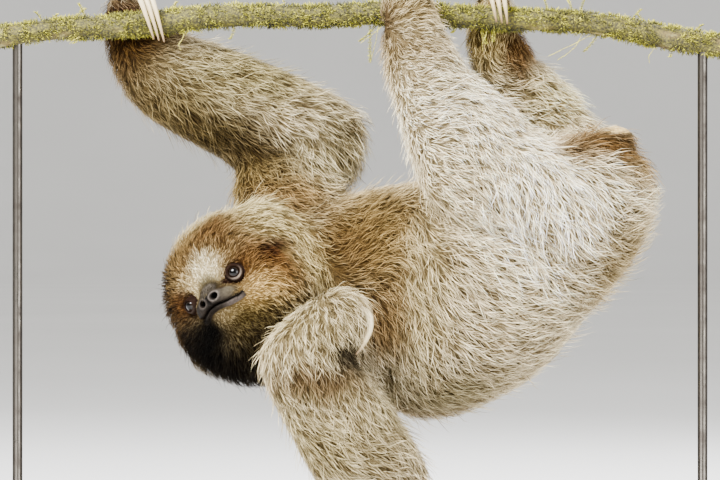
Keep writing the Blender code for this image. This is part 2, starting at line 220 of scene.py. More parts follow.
blackened, tree, shader = new_material("blackened_steel", Metallic=1.0)
place = own_place(tree)
smudges = cloudy(tree, place, 90, 5)
scratches = cloudy(tree, stretched(tree, place, (900, 900, 30)), 1.5, 2)
feed(ramp(tree, smudges, (0.3, rgb(58, 54, 50)), (0.7, rgb(92, 88, 82))), shader)
feed(ramp(tree, smudges, (0.3, grey(0.42)), (0.7, grey(0.26))), shader, "Roughness")
bump(tree, shader, scratches, 0.00015, 0.4)


def round_loop(bm, centre, radius, height, sides):
    """A level ring of points, in metres, round an upright axis through the centre."""
    turns = [math.tau * step / sides for step in range(sides)]
    x, y, z = centre
    return [
        bm.verts.new((x + radius * math.cos(turn), y + radius * math.sin(turn), z + height))
        for turn in turns
    ]


def around(first, second):
    """The faces between two closed loops of points, as four points each."""
    for i in range(len(first)):
        j = (i + 1) % len(first)
        yield first[i], first[j], second[j], second[i]


def turned(name, outline, centre):
    """A closed turned mesh from (radius, height) pairs, with its axis through the centre."""
    bm = bmesh.new()
    loops = [round_loop(bm, centre, r * MM, height * MM, ROD_SIDES) for r, height in outline]
    for below, above in zip(loops, loops[1:]):
        for face in around(below, above):
            bm.faces.new(face)
    bm.faces.new(list(reversed(loops[0])))
    bm.faces.new(loops[-1])
    return finished(bm, name, sharp=38)


board_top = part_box("stand_base")[1].z
for side in ("left", "right"):
    node = "stand_rod_" + side
    low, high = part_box(node)
    centre = (low + high) / 2
    centre.z = board_top
    foot, top = (low.z - board_top) / MM, (high.z - board_top) / MM
    rod = turned(node, [(ROD_RADIUS, foot), *COLLAR, (ROD_RADIUS, top)], centre)
    new_object("display_rod_" + side, rod, blackened, "stand_metal", node)

# ==== perch: bark ==========================================================================
# The perch is a cut length of living branch, thin barked, grey brown to tan where it is bare,
# and pale where it was sawn. The rods hold it near both ends.
BRANCH_RADIUS, BRANCH_TOP_Z, BRANCH_SAG = 9.0, 470.5, 21.0
BRANCH_DROOP, DROOP_START = 8.0, 110.0
BRANCH_SIDES, BRANCH_RINGS = 56, 420
SAWN_RINGS = (0.93, 0.7, 0.4)  # shares of the radius at each sawn end
CRACK_WIDTH, CRACK_DEPTH = 0.16, 0.78
BARK_SINK = 0.5  # how far the bark's mean surface lies under the solid's
BRANCH_HALF_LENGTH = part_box("perch_branch")[1].x / MM


def branch_centre(x):
    """The branch's axis: higher in the middle, with a slight waver and a drooping end."""
    droop = max(0.0, (x - DROOP_START) / (BRANCH_HALF_LENGTH - DROOP_START))
    z = BRANCH_TOP_Z - BRANCH_SAG * (x / BRANCH_HALF_LENGTH) ** 2 - BRANCH_DROOP * droop**2
    return Vector((x, 1.5 * math.sin(x / 37), z + 1.2 * math.sin(x / 23)))


def branch_radius(x):
    return BRANCH_RADIUS * (1 + 0.06 * math.sin(x / 31))


def moss_cover(x, turn):
    """How mossy the bark is, 0 to 1. The moss is thick in the middle, and thin at both ends."""
    patch = noise.noise(Vector((x / 26, math.cos(turn) * 0.9, math.sin(turn) * 0.9 + 7)))
    middle = 1 - 0.7 * max(0.0, abs(x + 20) / BRANCH_HALF_LENGTH - 0.45) / 0.55
    upper = 0.5 + 0.3 * math.sin(turn)
    return min(1.0, max(0.0, (0.62 * middle + 0.55 * upper + 0.7 * patch - 0.06) * 1.6))


def bark_relief(x, turn):
    """The bark's height over the round of the branch, with lengthwise cracks and small knots."""
    round_x, round_z = math.cos(turn), math.sin(turn)
    lumps = noise.noise(Vector((x / 17, round_x * 1.3, round_z * 1.3)))
    cracks = abs(noise.noise(Vector((x / 14, round_x * 4.5, round_z * 4.5))))
    fine = noise.noise(Vector((x / 2.4, round_x * 5, round_z * 5)))
    crack = max(0.0, CRACK_WIDTH - cracks) / CRACK_WIDTH
    return 0.7 * lumps - CRACK_DEPTH * crack + 0.3 * fine


bm = bmesh.new()
cover_layer = bm.verts.layers.float.new("moss")
loops = []
for ring in range(BRANCH_RINGS + 1):
    x = BRANCH_HALF_LENGTH * (2 * ring / BRANCH_RINGS - 1)
    centre = branch_centre(x)
    loop = []
    for step in range(BRANCH_SIDES):
        turn = math.tau * step / BRANCH_SIDES
        cover = moss_cover(x, turn)
        reach = branch_radius(x) - BARK_SINK + bark_relief(x, turn) * (1 - 0.5 * cover)
        outward = Vector((0, math.cos(turn), math.sin(turn)))
        vert = bm.verts.new((centre + outward * reach) * MM)
        vert[cover_layer] = cover
        loop.append(vert)
    loops.append(loop)
for first, second in zip(loops, loops[1:]):
    for a, b, c, d in around(first, second):
        bm.faces.new((a, d, c, b))
for loop, x in ((loops[0], -BRANCH_HALF_LENGTH), (loops[-1], BRANCH_HALF_LENGTH)):
    outer, centre = loop, branch_centre(x) * MM
    for share in SAWN_RINGS:
        inner = [bm.verts.new(centre.lerp(vert.co, share)) for vert in loop]
        for face in around(outer, inner):
            bm.faces.new(face).material_index = 1
        outer = inner
    bm.faces.new(outer).material_index = 1
bmesh.ops.recalc_face_normals(bm, faces=bm.faces)
branch = finished(bm, "branch_bark", sharp=60)


def stored(tree, name, output="Color"):
    """What the mesh carries under a name at each point."""
    return put(tree, "Attribute", {"attribute_name": name}).outputs[output]


bark, tree, shader = new_material("thin_bark", Roughness=0.85)
place = own_place(tree)
blotch = cloudy(tree, place, 55, 5, Roughness=0.6)
fine = cloudy(tree, place, 700, 4)
lichen = cloudy(tree, place, 120, 3)
tone = ramp(
    tree, blotch, (0.32, rgb(40, 30, 16)), (0.45, rgb(78, 64, 32)), (0.55, rgb(104, 92, 46)),
    (0.68, rgb(134, 122, 68)),
)
lichen_share = ramp(tree, lichen, (0.54, grey(0)), (0.62, grey(0.7)))
tone = mixed(tree, lichen_share, tone, rgb(126, 120, 72))
film = ramp(tree, fine, (0.35, rgb(32, 30, 4)), (0.55, rgb(66, 62, 8)), (0.7, rgb(106, 102, 18)))
film_share = ramp(tree, stored(tree, "moss", "Fac"), (0.2, grey(0)), (0.6, grey(0.92)))
tone = mixed(tree, film_share, tone, film)
grit = ramp(tree, fine, (0.34, grey(0.5)), (0.5, grey(1)))
feed(mixed(tree, 0.7, tone, grit, "MULTIPLY"), shader)
bump(tree, shader, fine, 0.0008, 0.7)

cut_wood, tree, shader = new_material("sawn_branch_end", Roughness=0.8)
growth = cloudy(tree, own_place(tree), 260, 4, Distortion=1.2)
feed(ramp(tree, growth, (0.35, rgb(150, 116, 72)), (0.65, rgb(204, 176, 128))), shader)
bump(tree, shader, growth, 0.0005, 0.5)
new_object("branch_bark", branch, bark, "bark", "perch_branch")
branch.materials.append(cut_wood)

# ==== skin =================================================================================
# The skin is one closed body under the whole coat, from the nose to the toes. It is bare and
# dark grey on the muzzle, lips and eyelids, and elsewhere it carries the coat's markings, with their
# painted shade.
SKIN_VOXEL = 2.6
flesh = [
    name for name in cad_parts
    if not name.startswith(("eye_", "stand_", "perch_")) and "_claw_" not in name
]
# how deep the coat is over each piece of the body
COAT_DEPTHS = {
    "head": 5, "muzzle": 1, "jaw": 1, "nose": 0.3, "ear": 4, "neck": 7, "chest": 7, "belly": 7.5,
    "rump": 7.5, "tail": 4, "upper_arm": 7, "forearm": 4, "hand": 4.5, "thigh": 7.5, "shin": 6,
    "foot": 4.5,
}
FACE_DEPTHS = 0.5, 5.0  # at the nose, and at the back of the head
RIGHT_FINGERS = (-8, -103, 234)
TAIL_TIP = (205, -10, 385)
SEAM_LAP = 0.35  # the solids are parted by thin cuts, and this laps them again

bm = bmesh.new()
flesh_of_face = []
for index, name in enumerate(flesh):
    piece = bmesh.new()
    piece.from_mesh(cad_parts[name].data)
    piece.normal_update()
    for vert in piece.verts:
        vert.co += vert.normal * SEAM_LAP * MM
    flesh_of_face += [index] * len(piece.faces)
    lapped = finished(piece, name + "_lapped")
    bm.from_mesh(lapped)
    bpy.data.meshes.remove(lapped)
solids = BVHTree.FromBMesh(bm)
body = placed("skin_form", finished(bm, "skin"))
fuse = body.modifiers.new("fuse", "REMESH")
fuse.mode = "VOXEL"
fuse.voxel_size = SKIN_VOXEL * MM
even = body.modifiers.new("even", "SMOOTH")
even.factor = 0.5
even.iterations = 10
bpy.context.view_layer.update()
graph = bpy.context.evaluated_depsgraph_get()
skin_mesh = bpy.data.meshes.new_from_object(body.evaluated_get(graph))
bpy.data.objects.remove(body)


def read_all(items, field, width, kind):
    """One field of all of a mesh's items, as an array with a row for each."""
    flat = np.empty(len(items) * width, dtype=kind)
    items.foreach_get(field, flat)
    return flat.reshape(-1, width) if width > 1 else flat


def positions(mesh):
    """A mesh's points as an array, in millimetres."""
    return read_all(mesh.vertices, "co", 3, np.float32).astype(float) / MM


def set_positions(mesh, points):
    mesh.vertices.foreach_set("co", (points * MM).astype(np.float32).ravel())
    mesh.update()


def normals(mesh):
    return read_all(mesh.vertex_normals, "vector", 3, np.float32).astype(float)


def edges(mesh):
    return read_all(mesh.edges, "vertices", 2, np.int32)


def relaxed(values, links, rounds):
    """Values at a mesh's points, each moved half way to the mean of its neighbours."""
    count = np.zeros(len(values))
    np.add.at(count, links[:, 0], 1)
    np.add.at(count, links[:, 1], 1)
    shape = (-1,) + (1,) * (values.ndim - 1)
    for _ in range(rounds):
        total = np.zeros_like(values)
        np.add.at(total, links[:, 0], values[links[:, 1]])
        np.add.at(total, links[:, 1], values[links[:, 0]])
        values = values + 0.5 * (total / np.maximum(count, 1).reshape(shape) - values)
    return values


def eased(value, start, end):
    """0 before start, 1 after end, and a smooth step between them."""
    share = np.clip((value - start) / (end - start), 0, 1)
    return share * share * (3 - 2 * share)


def distance(points, place, reach=1.0):
    """How far each point is from a place, in millimetres or in shares of a reach."""
    return np.linalg.norm((points - np.array(place)) / np.array(reach), axis=1)


def unit(vectors, least=1e-6):
    return vectors / np.maximum(np.linalg.norm(vectors, axis=1), least)[:, None]


def by_part(table):
    """A table's value for each name in flesh, which may be under a part of the name."""
    return [
        table[name] if name in table else next(table[part] for part in table if part in name)
        for name in flesh
    ]


def owned(owner, parts):
    """Which of the points or faces belong to some parts of the body."""
    return np.isin(owner, [flesh.index(part) for part in parts])


# the head's own axes: x to its left, y to its back, z to its crown
NOSE_ROOT = (0, -48, 2)
HEAD_CENTRE = np.array((-95.8, -35, 248.7))
HEAD_TURN = np.array(
    Matrix.Rotation(math.radians(-37.7), 3, "Y")
    @ Matrix.Rotation(math.radians(-22), 3, "Z")
    @ Matrix.Rotation(math.radians(-10), 3, "X")
)


def to_head(points):
    return (points - HEAD_CENTRE) @ HEAD_TURN


def from_head(points):
    return np.asarray(points) @ HEAD_TURN.T + HEAD_CENTRE


def flesh_names(points):
    """The index in flesh of the solid that is nearest to each point."""
    found = [solids.find_nearest(Vector(p) * MM)[2] for p in points]
    return np.array([flesh_of_face[face] for face in found])


def from_nose(points):
    """How far each point is from the middle of the face."""
    return distance(to_head(points), NOSE_ROOT)


def head_depth(points):
    """The coat's depth on the head: thin on the face, and thicker behind."""
    return FACE_DEPTHS[0] + FACE_DEPTHS[1] * eased(from_nose(points), 18, 74)


points = positions(skin_mesh)
owner = flesh_names(points)
depth = np.array(by_part(COAT_DEPTHS), dtype=float)[owner]
depth = np.where(owned(owner, ("head", "muzzle", "jaw", "nose")), head_depth(points), depth)
links = edges(skin_mesh)
depth = relaxed(depth, links, 8)
# the coat is thin over the curled hand's fingers, which hold the roots of their claws, and
# over the bare tip of the tail: how deep it is there, how fast it deepens, and from how far
THIN_PLACES = (RIGHT_FINGERS, 0.5, 0.3, 16), (TAIL_TIP, 0.8, 0.4, 17)
for place, least, slope, start in THIN_PLACES:
    depth = np.minimum(depth, least + slope * np.maximum(0, distance(points, place) - start))
set_positions(skin_mesh, points - normals(skin_mesh) * depth[:, None])
set_positions(skin_mesh, relaxed(positions(skin_mesh), links, 4))

# the face is cut finer: once for the whole face, again round eyes, nose and mouth, and again
FACE_REACHES = (46, 38, 33)
FACE_FRONT = (0, -46, 0)
MUZZLE_FORM = (0, -48, -3), (25, 16, 16)
EYE_CUT_REACH, FACE_BACK = 12.5, -22  # how far the last cut goes round the eyes, and where all end
SIDES = {"left": 1, "right": -1}
EYES = {side: np.array((22.1 * sign, -36.1, 7.4)) for side, sign in SIDES.items()}


def head_spots(bm):
    """The points of a form that is being worked, in the head's axes."""
    return to_head(np.array([v.co[:] for v in bm.verts]) / MM)


bm = bmesh.new()
bm.from_mesh(skin_mesh)
for reach in FACE_REACHES:
    spots = head_spots(bm)
    near = distance(spots, FACE_FRONT) < reach
    if reach == FACE_REACHES[-1]:
        near = distance(spots, *MUZZLE_FORM) < 1
        for centre in EYES.values():
            near |= distance(spots, centre) < EYE_CUT_REACH
    near &= spots[:, 1] < FACE_BACK
    chosen = [e for e in bm.edges if near[e.verts[0].index] and near[e.verts[1].index]]
    bmesh.ops.subdivide_edges(bm, edges=chosen, cuts=1, use_grid_fill=True)
    bm.verts.index_update()
    near = distance(head_spots(bm), FACE_FRONT) < reach
    for _ in range(3):
        bmesh.ops.smooth_vert(
            bm, verts=[v for v in bm.verts if near[v.index]], factor=0.5,
            use_axis_x=True, use_axis_y=True, use_axis_z=True,
        )
bm.to_mesh(skin_mesh)
bm.free()

# the face is then sculpted, in the head's own axes
SWELLINGS = (  # muzzle, nose and chin: centre, radii, and how far each is flattened
    ((0, -42.5, -4), (20.5, 16.5, 13.5), 0.25),
    ((0, -50.5, -0.5), (11.2, 8.4, 7.2), 0.1),
    ((0, -40, -15), (14, 12.5, 8), 0.25),
)
CREASES = (  # start, end, width and depth
    ((21, -40, -8), (29, -30, -3), 1.5, 0.9),  # on from the corner of the mouth
    ((9.8, -50, 3), (14, -45, -3.5), 1.5, 0.8),  # beside the nose
    ((7, -48, 7.5), (14, -42, 11), 2.2, 0.5),  # over the nose
)
MOUTH_HALF_WIDTH, MOUTH_Z, MOUTH_DEPTH = 21.5, -7.4, 3.2
NOSTRIL_X, NOSTRIL_Z, NOSTRIL_RADIUS, NOSTRIL_DEPTH = 5.9, -0.6, 2.9, 5.5
EYE_RADIUS = 6.6
EYE_CORNER_X, EYE_CORNER_Z = 14.2, 4.6  # the corner beside the nose
LID_THICKNESS, LID_WIDTH, LID_HEIGHT, LID_REACH, LID_DROP = 0.9, 5.0, 4.6, 10.6, 5.5
LOWER_LID_HIGHLIGHT = {"left": 1.0, "right": 0.12}  # how strong the painted highlight on its lower lid's rim is


def swell(head_points, centre, radii, softness):
    """Raises the points that lie inside an ellipsoid towards its surface."""
    away = (head_points - centre) / radii
    share_out = np.maximum(np.linalg.norm(away, axis=1), 1e-6)
    front = eased(-away[:, 1], -0.3, 0.2)
    lift = np.maximum(0, 1 - share_out)
    lift *= eased(lift, -0.12, 0.3)
    lift = lift * front * (1 - softness * lift)
    return head_points + (away / share_out[:, None]) * lift[:, None] * radii


def mouth_line(x):
    """The height of the mouth's line across the face: it dips at the sides and ends level."""
    x = np.abs(x)
    return MOUTH_Z - 1.8 * eased(x, 2, 13) + 0.6 * eased(x, 15, MOUTH_HALF_WIDTH)


def eye_axis(side):
    """Where an eye looks: forward, a little out and a little up."""
    axis = np.array((0.40 * SIDES[side], -0.90, 0.10))
    return axis / np.linalg.norm(axis)


def nostril_distance(head_points, sign):
    """How far each point is from the middle of a nostril, as seen from in front."""
    return np.hypot(head_points[:, 0] - sign * NOSTRIL_X, (head_points[:, 2] - NOSTRIL_Z) / 0.9)


def ridge(value, middle, width):
    """1 where the value is at the middle, and soon 0 to both sides."""
    return np.exp(-(((value - middle) / width) ** 2))


spots = to_head(positions(skin_mesh))
for centre, radii, softness in SWELLINGS:
    spots = swell(spots, centre, radii, softness)
flat_face = relaxed(spots, edges(skin_mesh), 4)
spots += (flat_face - spots) * eased(-from_nose(from_head(spots)), -34, -26)[:, None]
front = eased(-spots[:, 1], 28, 37)
side_share = eased(-np.abs(spots[:, 0]), -MOUTH_HALF_WIDTH - 1.5, -MOUTH_HALF_WIDTH + 4)
rise = spots[:, 2] - mouth_line(spots[:, 0])
groove = ridge(rise, 0, 0.75) * side_share * front
lips = 0.7 * ridge(rise, -2.3, 1.6) + 0.5 * ridge(rise, 2.2, 1.5)
outward = unit(spots - (0, -26, -4))
spots += outward * (lips * side_share * front - MOUTH_DEPTH * groove)[:, None]
for sign in SIDES.values():
    for start, end, width, sink in CREASES:
        start = np.array(start) * (sign, 1, 1)
        end = np.array(end) * (sign, 1, 1)
        along = np.clip((spots - start) @ (end - start) / ((end - start) @ (end - start)), 0, 1)
        off = np.linalg.norm(spots - (start + along[:, None] * (end - start)), axis=1)
        fade = np.sin(np.pi * np.clip(0.15 + 0.85 * along, 0, 1)) * front
        spots -= outward * (sink * ridge(off, 0, width) * fade)[:, None]
    off = nostril_distance(spots, sign)
    before = eased(-spots[:, 1], 46, 50)
    rim = 0.8 * ridge(off - NOSTRIL_RADIUS, 1.0, 0.9) * before
    pit = NOSTRIL_DEPTH * eased(-off, -NOSTRIL_RADIUS - 0.3, -NOSTRIL_RADIUS + 0.9) * before
    spots[:, 1] += pit - rim
# a shallow furrow runs from the nose down to the lip
philtrum = ridge(spots[:, 0], 0, 0.8) * eased(-spots[:, 1], 48, 52)
spots[:, 1] += 0.8 * philtrum * eased(-spots[:, 2], -2, 2) * eased(spots[:, 2], MOUTH_Z, MOUTH_Z + 2)

lid_share, lid_highlight_share = np.zeros(len(spots)), np.zeros(len(spots))
for side, centre in EYES.items():
    axis = eye_axis(side)
    level = np.cross(axis, (0, 0, 1))
    level /= np.linalg.norm(level)
    upright = np.cross(level, axis)
    away = spots - centre
    ahead = away @ axis
    flat = away - ahead[:, None] * axis
    radius = np.linalg.norm(flat, axis=1)
    turn = np.arctan2(flat @ upright, flat @ level)
    opening = 1 / np.hypot(np.cos(turn) / LID_WIDTH, np.sin(turn) / LID_HEIGHT)
    past = radius - opening  # how far out each point is from the lids' edge
    shell = EYE_RADIUS + LID_THICKNESS
    near = (ahead > -9) & (radius < LID_REACH + 1)
    lid = near & (radius >= opening)
    folds = 0.3 * np.sin(past * 2.9) * ridge(radius, 7.4, 2.2) + 0.35 * ridge(past, 0.9, 0.6)
    target = np.sqrt(np.maximum(shell**2 - radius**2, 0.0)) + folds
    share = 1 - eased(radius, 6.9, LID_REACH)
    spots[lid] += (axis * ((target - ahead) * share)[:, None])[lid]
    spots[near] -= (axis * (0.8 * ridge(radius, 9.6, 1.1))[:, None])[near]
    hole = near & (radius < opening)
    sink = np.sqrt(np.maximum(shell**2 - opening**2, 0)) - LID_DROP * eased(-past, 0.0, 0.9)
    spots[hole] += (axis * (sink - ahead)[:, None])[hole]
    lid_share = np.maximum(lid_share, near * (1 - eased(radius, 8.4, 10.2)))
    # the pale rim of the lower lid is painted highlight, strong on the lit left eye and faint on the
    # shaded right one
    lower = 0.5 - 0.5 * np.sin(turn + 0.25 * SIDES[side])
    rim = near * lower**3 * LOWER_LID_HIGHLIGHT[side] * ridge(past, 1.0, 0.55)
    lid_highlight_share = np.maximum(lid_highlight_share, rim)
set_positions(skin_mesh, from_head(spots))
skin_mesh.shade_smooth()

# ---- the markings, which skin and coat share: named patches over a pale ground, some darkened with painted shade and one brightened with painted light ---
PALE = rgb(214, 203, 180)
# the dyes dry stronger than they are mixed, and the dark ones more so
MARK_PIVOT, MARK_CONTRAST, MARK_DEEPENING = 0.62, 1.22, 0.4
BODY_MARKS = (  # centre, reach, colour, strength
    ((6, -40, 290), (58, 80, 54), (168, 146, 102), 1.0),  # brown throat and chest
    ((-20, -20, 275), (36, 60, 34), (142, 114, 72), 0.8),  # throat
    ((20, -60, 232), (26, 60, 28), (150, 122, 84), 0.9),
    ((36, -70, 280), (22, 60, 70), (180, 158, 118), 0.6),
    ((48, -80, 250), (19, 60, 92), (208, 196, 164), 0.75),  # strip where the hair parts
    ((70, -70, 166), (60, 60, 28), (158, 148, 116), 0.85),  # low belly
    # the thigh's pale coat, made brighter still with painted light where the lamp falls on it
    ((140, -70, 330), (64, 60, 74), (252, 244, 226), 1.0),  # bright thigh
    ((78, -70, 392), (50, 70, 46), (236, 228, 210), 0.9),  # near shin
    ((208, -40, 262), (42, 70, 44), (182, 164, 126), 0.75),
    ((190, -40, 365), (50, 80, 14), (136, 106, 64), 1.0),  # brown round the tail
    ((214, -6, 352), (16, 60, 16), (158, 132, 90), 0.7),
    ((205, -10, 385), (20, 22, 6), (216, 196, 150), 1.0),  # bare tip of the tail
    ((158, -40, 392), (22, 40, 14), (192, 178, 138), 0.7),
    ((40, -35, 478), (30, 40, 24), (196, 180, 146), 0.9),  # near foot
    ((16, -50, 458), (13, 40, 17), (96, 70, 42), 1.0),  # its crown of hair
    ((40, -52, 440), (26, 24, 12), (176, 158, 128), 0.6),
    ((22, -60, 420), (8, 40, 44), (184, 166, 134), 0.6),
    ((100, 26, 458), (22, 40, 36), (198, 180, 132), 1.0),  # far foot
    ((126, 30, 446), (13, 40, 30), (142, 106, 58), 0.9),
    ((152, 50, 406), (32, 60, 24), (236, 226, 192), 0.9),
    ((-182, 20, 446), (34, 50, 40), (112, 84, 42), 1.0),  # upper hand
    ((-190, 20, 470), (26, 40, 14), (100, 62, 34), 0.7),
    ((-158, 10, 400), (40, 50, 26), (128, 110, 70), 0.85),
    # painted shade under the raised forearm
    ((-120, 5, 380), (44, 50, 20), (110, 94, 58), 0.95),  # under the forearm
    ((-92, 10, 426), (74, 50, 30), (170, 160, 120), 0.8),  # over the forearm
    # painted shade in the crook of the elbow
    ((-84, 12, 364), (42, 60, 13), (104, 88, 58), 0.9),  # crook of the elbow
    # the upper arm's brown, darkened with painted shade below the forearm
    ((-88, 10, 342), (44, 60, 22), (142, 122, 76), 0.9),
    ((-58, 10, 324), (36, 60, 20), (162, 132, 86), 0.9),
    ((-30, 40, 360), (40, 60, 46), (198, 190, 158), 0.6),  # elbow
    ((-40, -104, 226), (50, 40, 36), (194, 182, 150), 0.8),  # curled hand
    # painted shade in the crease of its wrist
    ((-34, -100, 184), (34, 50, 13), (118, 86, 50), 0.95),  # crease of its wrist
    ((-30, -90, 140), (70, 60, 50), (178, 166, 130), 0.75),
    # painted shade under the curled fingers and their claws
    ((-8, -100, 204), (15, 50, 15), (60, 48, 32), 0.9),
    ((40, 60, 270), (120, 60, 90), (170, 154, 124), 0.7),  # the back, greyer and darker
    ((110, 70, 300), (70, 50, 60), (150, 132, 102), 0.6),
)
HEAD_MARKS = (  # in the head's own axes
    ((0, 0, 30), (90, 80, 70), (172, 150, 110), 1.0),
    ((-4, -28, 50), (50, 34, 26), (138, 112, 72), 0.75),  # crown
    ((10, 20, 62), (70, 40, 26), (198, 188, 154), 0.9),  # pale hair over the nape
    ((16, -24, 49), (15, 24, 11), (140, 108, 70), 0.8),  # brown band round the crown
    ((30, -22, 37), (12, 24, 13), (134, 102, 64), 0.8),
    ((39, -20, 18), (9, 22, 14), (138, 104, 64), 0.7),
    ((45, 10, 40), (26, 40, 26), (202, 190, 152), 0.7),
    ((62, 6, 0), (12, 40, 44), (206, 192, 150), 0.7),  # pale hair behind the cheek
    ((40, -30, -10), (26, 26, 22), (220, 194, 146), 0.9),  # left cheek
    ((0, -46, -2), (27, 16, 13), (118, 104, 80), 0.8),  # short hair round the muzzle
    ((4, -40, 22), (16, 18, 14), (230, 222, 200), 1.0),  # white brow
    ((0, -48, 14), (9, 12, 6), (150, 144, 126), 0.8),
    ((-13, -44, 11), (4, 12, 11), (222, 212, 184), 0.9),  # pale line beside the nose
    ((-18, -40, 20), (9, 14, 9), (214, 200, 168), 0.8),
    ((27, -34, 9), (13, 16, 13), (116, 80, 44), 0.9),  # round the left eye
    ((38, -32, 6), (9, 16, 12), (150, 118, 76), 0.7),
    ((-26, -34, 9), (12, 16, 13), (104, 66, 36), 0.9),  # round the right eye
    ((-37, -32, 12), (9, 16, 14), (138, 100, 56), 0.8),
    ((50, -16, 8), (12, 20, 9), (86, 44, 22), 0.9),  # at the left ear
    ((48, -20, -8), (14, 22, 18), (134, 92, 42), 0.9),
    ((14, -34, -24), (26, 26, 13), (146, 130, 86), 0.9),  # chin
    ((12, -20, -44), (48, 34, 24), (112, 98, 62), 1.0),  # throat
    ((34, -30, -16), (20, 24, 12), (216, 188, 136), 0.8),
    # painted shade: the dark mask beside the right eye, darkened further where the head's right side
    # lies in shade
    ((-18, -38, -18), (18, 22, 11), (40, 35, 24), 0.95),  # dark right side
    ((-34, -26, -25), (24, 30, 27), (32, 27, 18), 1.0),
    ((0, -52, 6), (13, 12, 8), (70, 64, 54), 0.95),  # short dark hair over the bridge
    ((-45, -14, 38), (18, 36, 30), (86, 68, 38), 1.0),
    ((-52, -18, 2), (16, 30, 24), (90, 68, 42), 0.85),
    # painted shade on the right side and under the head
    ((-44, -22, -14), (16, 26, 13), (50, 40, 26), 0.8),
    ((-24, -10, -50), (42, 40, 26), (44, 38, 25), 0.95),
)


def patch_weights(points, centre, reach):
    away = (points - np.array(centre)) / np.array(reach)
    return np.exp(-1.1 * (away * away).sum(axis=1) ** 1.6)


def mark_layers(points, marks):
    """What share each mark of a table has at each point, with its colour."""
    for centre, reach, mark, strength in marks:
        yield strength * patch_weights(points, centre, reach), rgb(*mark)


def laid_over(colour, layers):
    """Colours with others laid over them in turn, each to its own share at each point."""
    for share, over in layers:
        share = np.clip(share, 0, 1)[:, None]
        colour = colour * (1 - share) + np.array(over[:3]) * share
    return colour


HEAD_FORM = (0, 2, 0), (76, 62, 76)


def markings_and_shade(points):
    """The coat's colour at each point, painted shade and light included, before the hairs' own shades.
    """
    wobble = np.stack([
        np.sin(points[:, 2] / 7.3 + 1.7 * np.sin(points[:, 0] / 11)),
        np.sin(points[:, 0] / 8.1 + 1.3 * np.sin(points[:, 2] / 13)),
        np.sin(points[:, 0] / 6.7 + points[:, 1] / 9),
    ], axis=1)
    colour = np.tile(np.array(PALE[:3]), (len(points), 1))
    colour = laid_over(colour, mark_layers(points + 2.6 * wobble, BODY_MARKS))
    face = laid_over(colour, mark_layers(to_head(points + 1.2 * wobble), HEAD_MARKS))
    on_head = eased(-distance(to_head(points), *HEAD_FORM), -1.12, -0.92)[:, None]
    colour = colour * (1 - on_head) + face * on_head
    colour = MARK_PIVOT * (colour / MARK_PIVOT) ** MARK_CONTRAST
    light = colour @ (0.2126, 0.7152, 0.0722)
    return colour * ((light / MARK_PIVOT) ** MARK_DEEPENING)[:, None]


def eye_corner_distance(head_points):
    x, _, z = head_points.T
    return np.hypot(np.abs(x) - EYE_CORNER_X, z - EYE_CORNER_Z)


BARE_TAIL = (205, -10, 383)


def bareness(points):
    """1 on the bare skin of the muzzle, nose, lips and lids, 0 where the coat grows."""
    head = to_head(points)
    x, y, z = head.T
    bare = 1 - eased(np.hypot(x / 21.0, (z + 3.8) / 8.4), 0.74, 1.14)
    bare = np.maximum(bare, 1 - eased(np.hypot(x / 9.0, (z - 4) / 8.0), 0.7, 1.25))
    lips = 1 - eased(np.abs(z - mouth_line(x) + 1.6), 2.0, 3.6)
    bare = np.maximum(bare, lips * (1 - eased(np.abs(x), 20, 24))) * eased(-y, 28, 34)
    for side, centre in EYES.items():
        away = head - centre
        axis = eye_axis(side)
        flat = away - (away @ axis)[:, None] * axis
        close = np.linalg.norm(away, axis=1) < 14
        bare = np.maximum(bare, close * (1 - eased(np.linalg.norm(flat, axis=1), 7.8, 9.2)))
        bare = np.maximum(bare, close * (1 - eased(eye_corner_distance(head), 2.6, 4.2)))
    return np.maximum(bare, 1 - eased(distance(points, BARE_TAIL, (18, 19, 9)), 0.8, 1.1))


FLESH, FLESH_DEEPENING = rgb(52, 47, 42), 0.42
FLESH_MARKS = (  # the bare skin's colours, with painted shade on its right side and below the nose, in the head's axes
    ((0, -56, -1), (11, 9, 7.5), (16, 14, 13), 0.95),  # nose
    ((0, -50, 9), (9, 10, 6), (84, 78, 70), 0.8),  # bridge
    ((15, -46, -3), (8, 10, 6), (98, 91, 76), 0.9),  # upper lip, the animal's left
    # the right upper lip, dark with painted shade
    ((-14, -47, -4), (8, 10, 8), (34, 30, 27), 0.9),
    # painted shade under the nose
    ((0, -54, -8), (9, 8, 3), (28, 26, 24), 0.85),  # below the nose
    ((13, -46, -12), (7, 10, 2.6), (120, 110, 106), 0.85),  # lower lip
    # the right lower lip and the skin beside the right eye, dark with painted shade
    ((-10, -46, -12), (11, 10, 5), (32, 30, 26), 0.9),
    ((-21, -40, -2), (11, 14, 14), (20, 16, 13), 0.9),  # beside the right eye
)
NOSTRIL_RIM_HIGHLIGHT = {1: 0.6, -1: 0.25}  # painted highlight on each nostril's rim: how strong it is to the left and to the right
TAIL_SKIN = 1.1 * np.array(rgb(216, 184, 122))


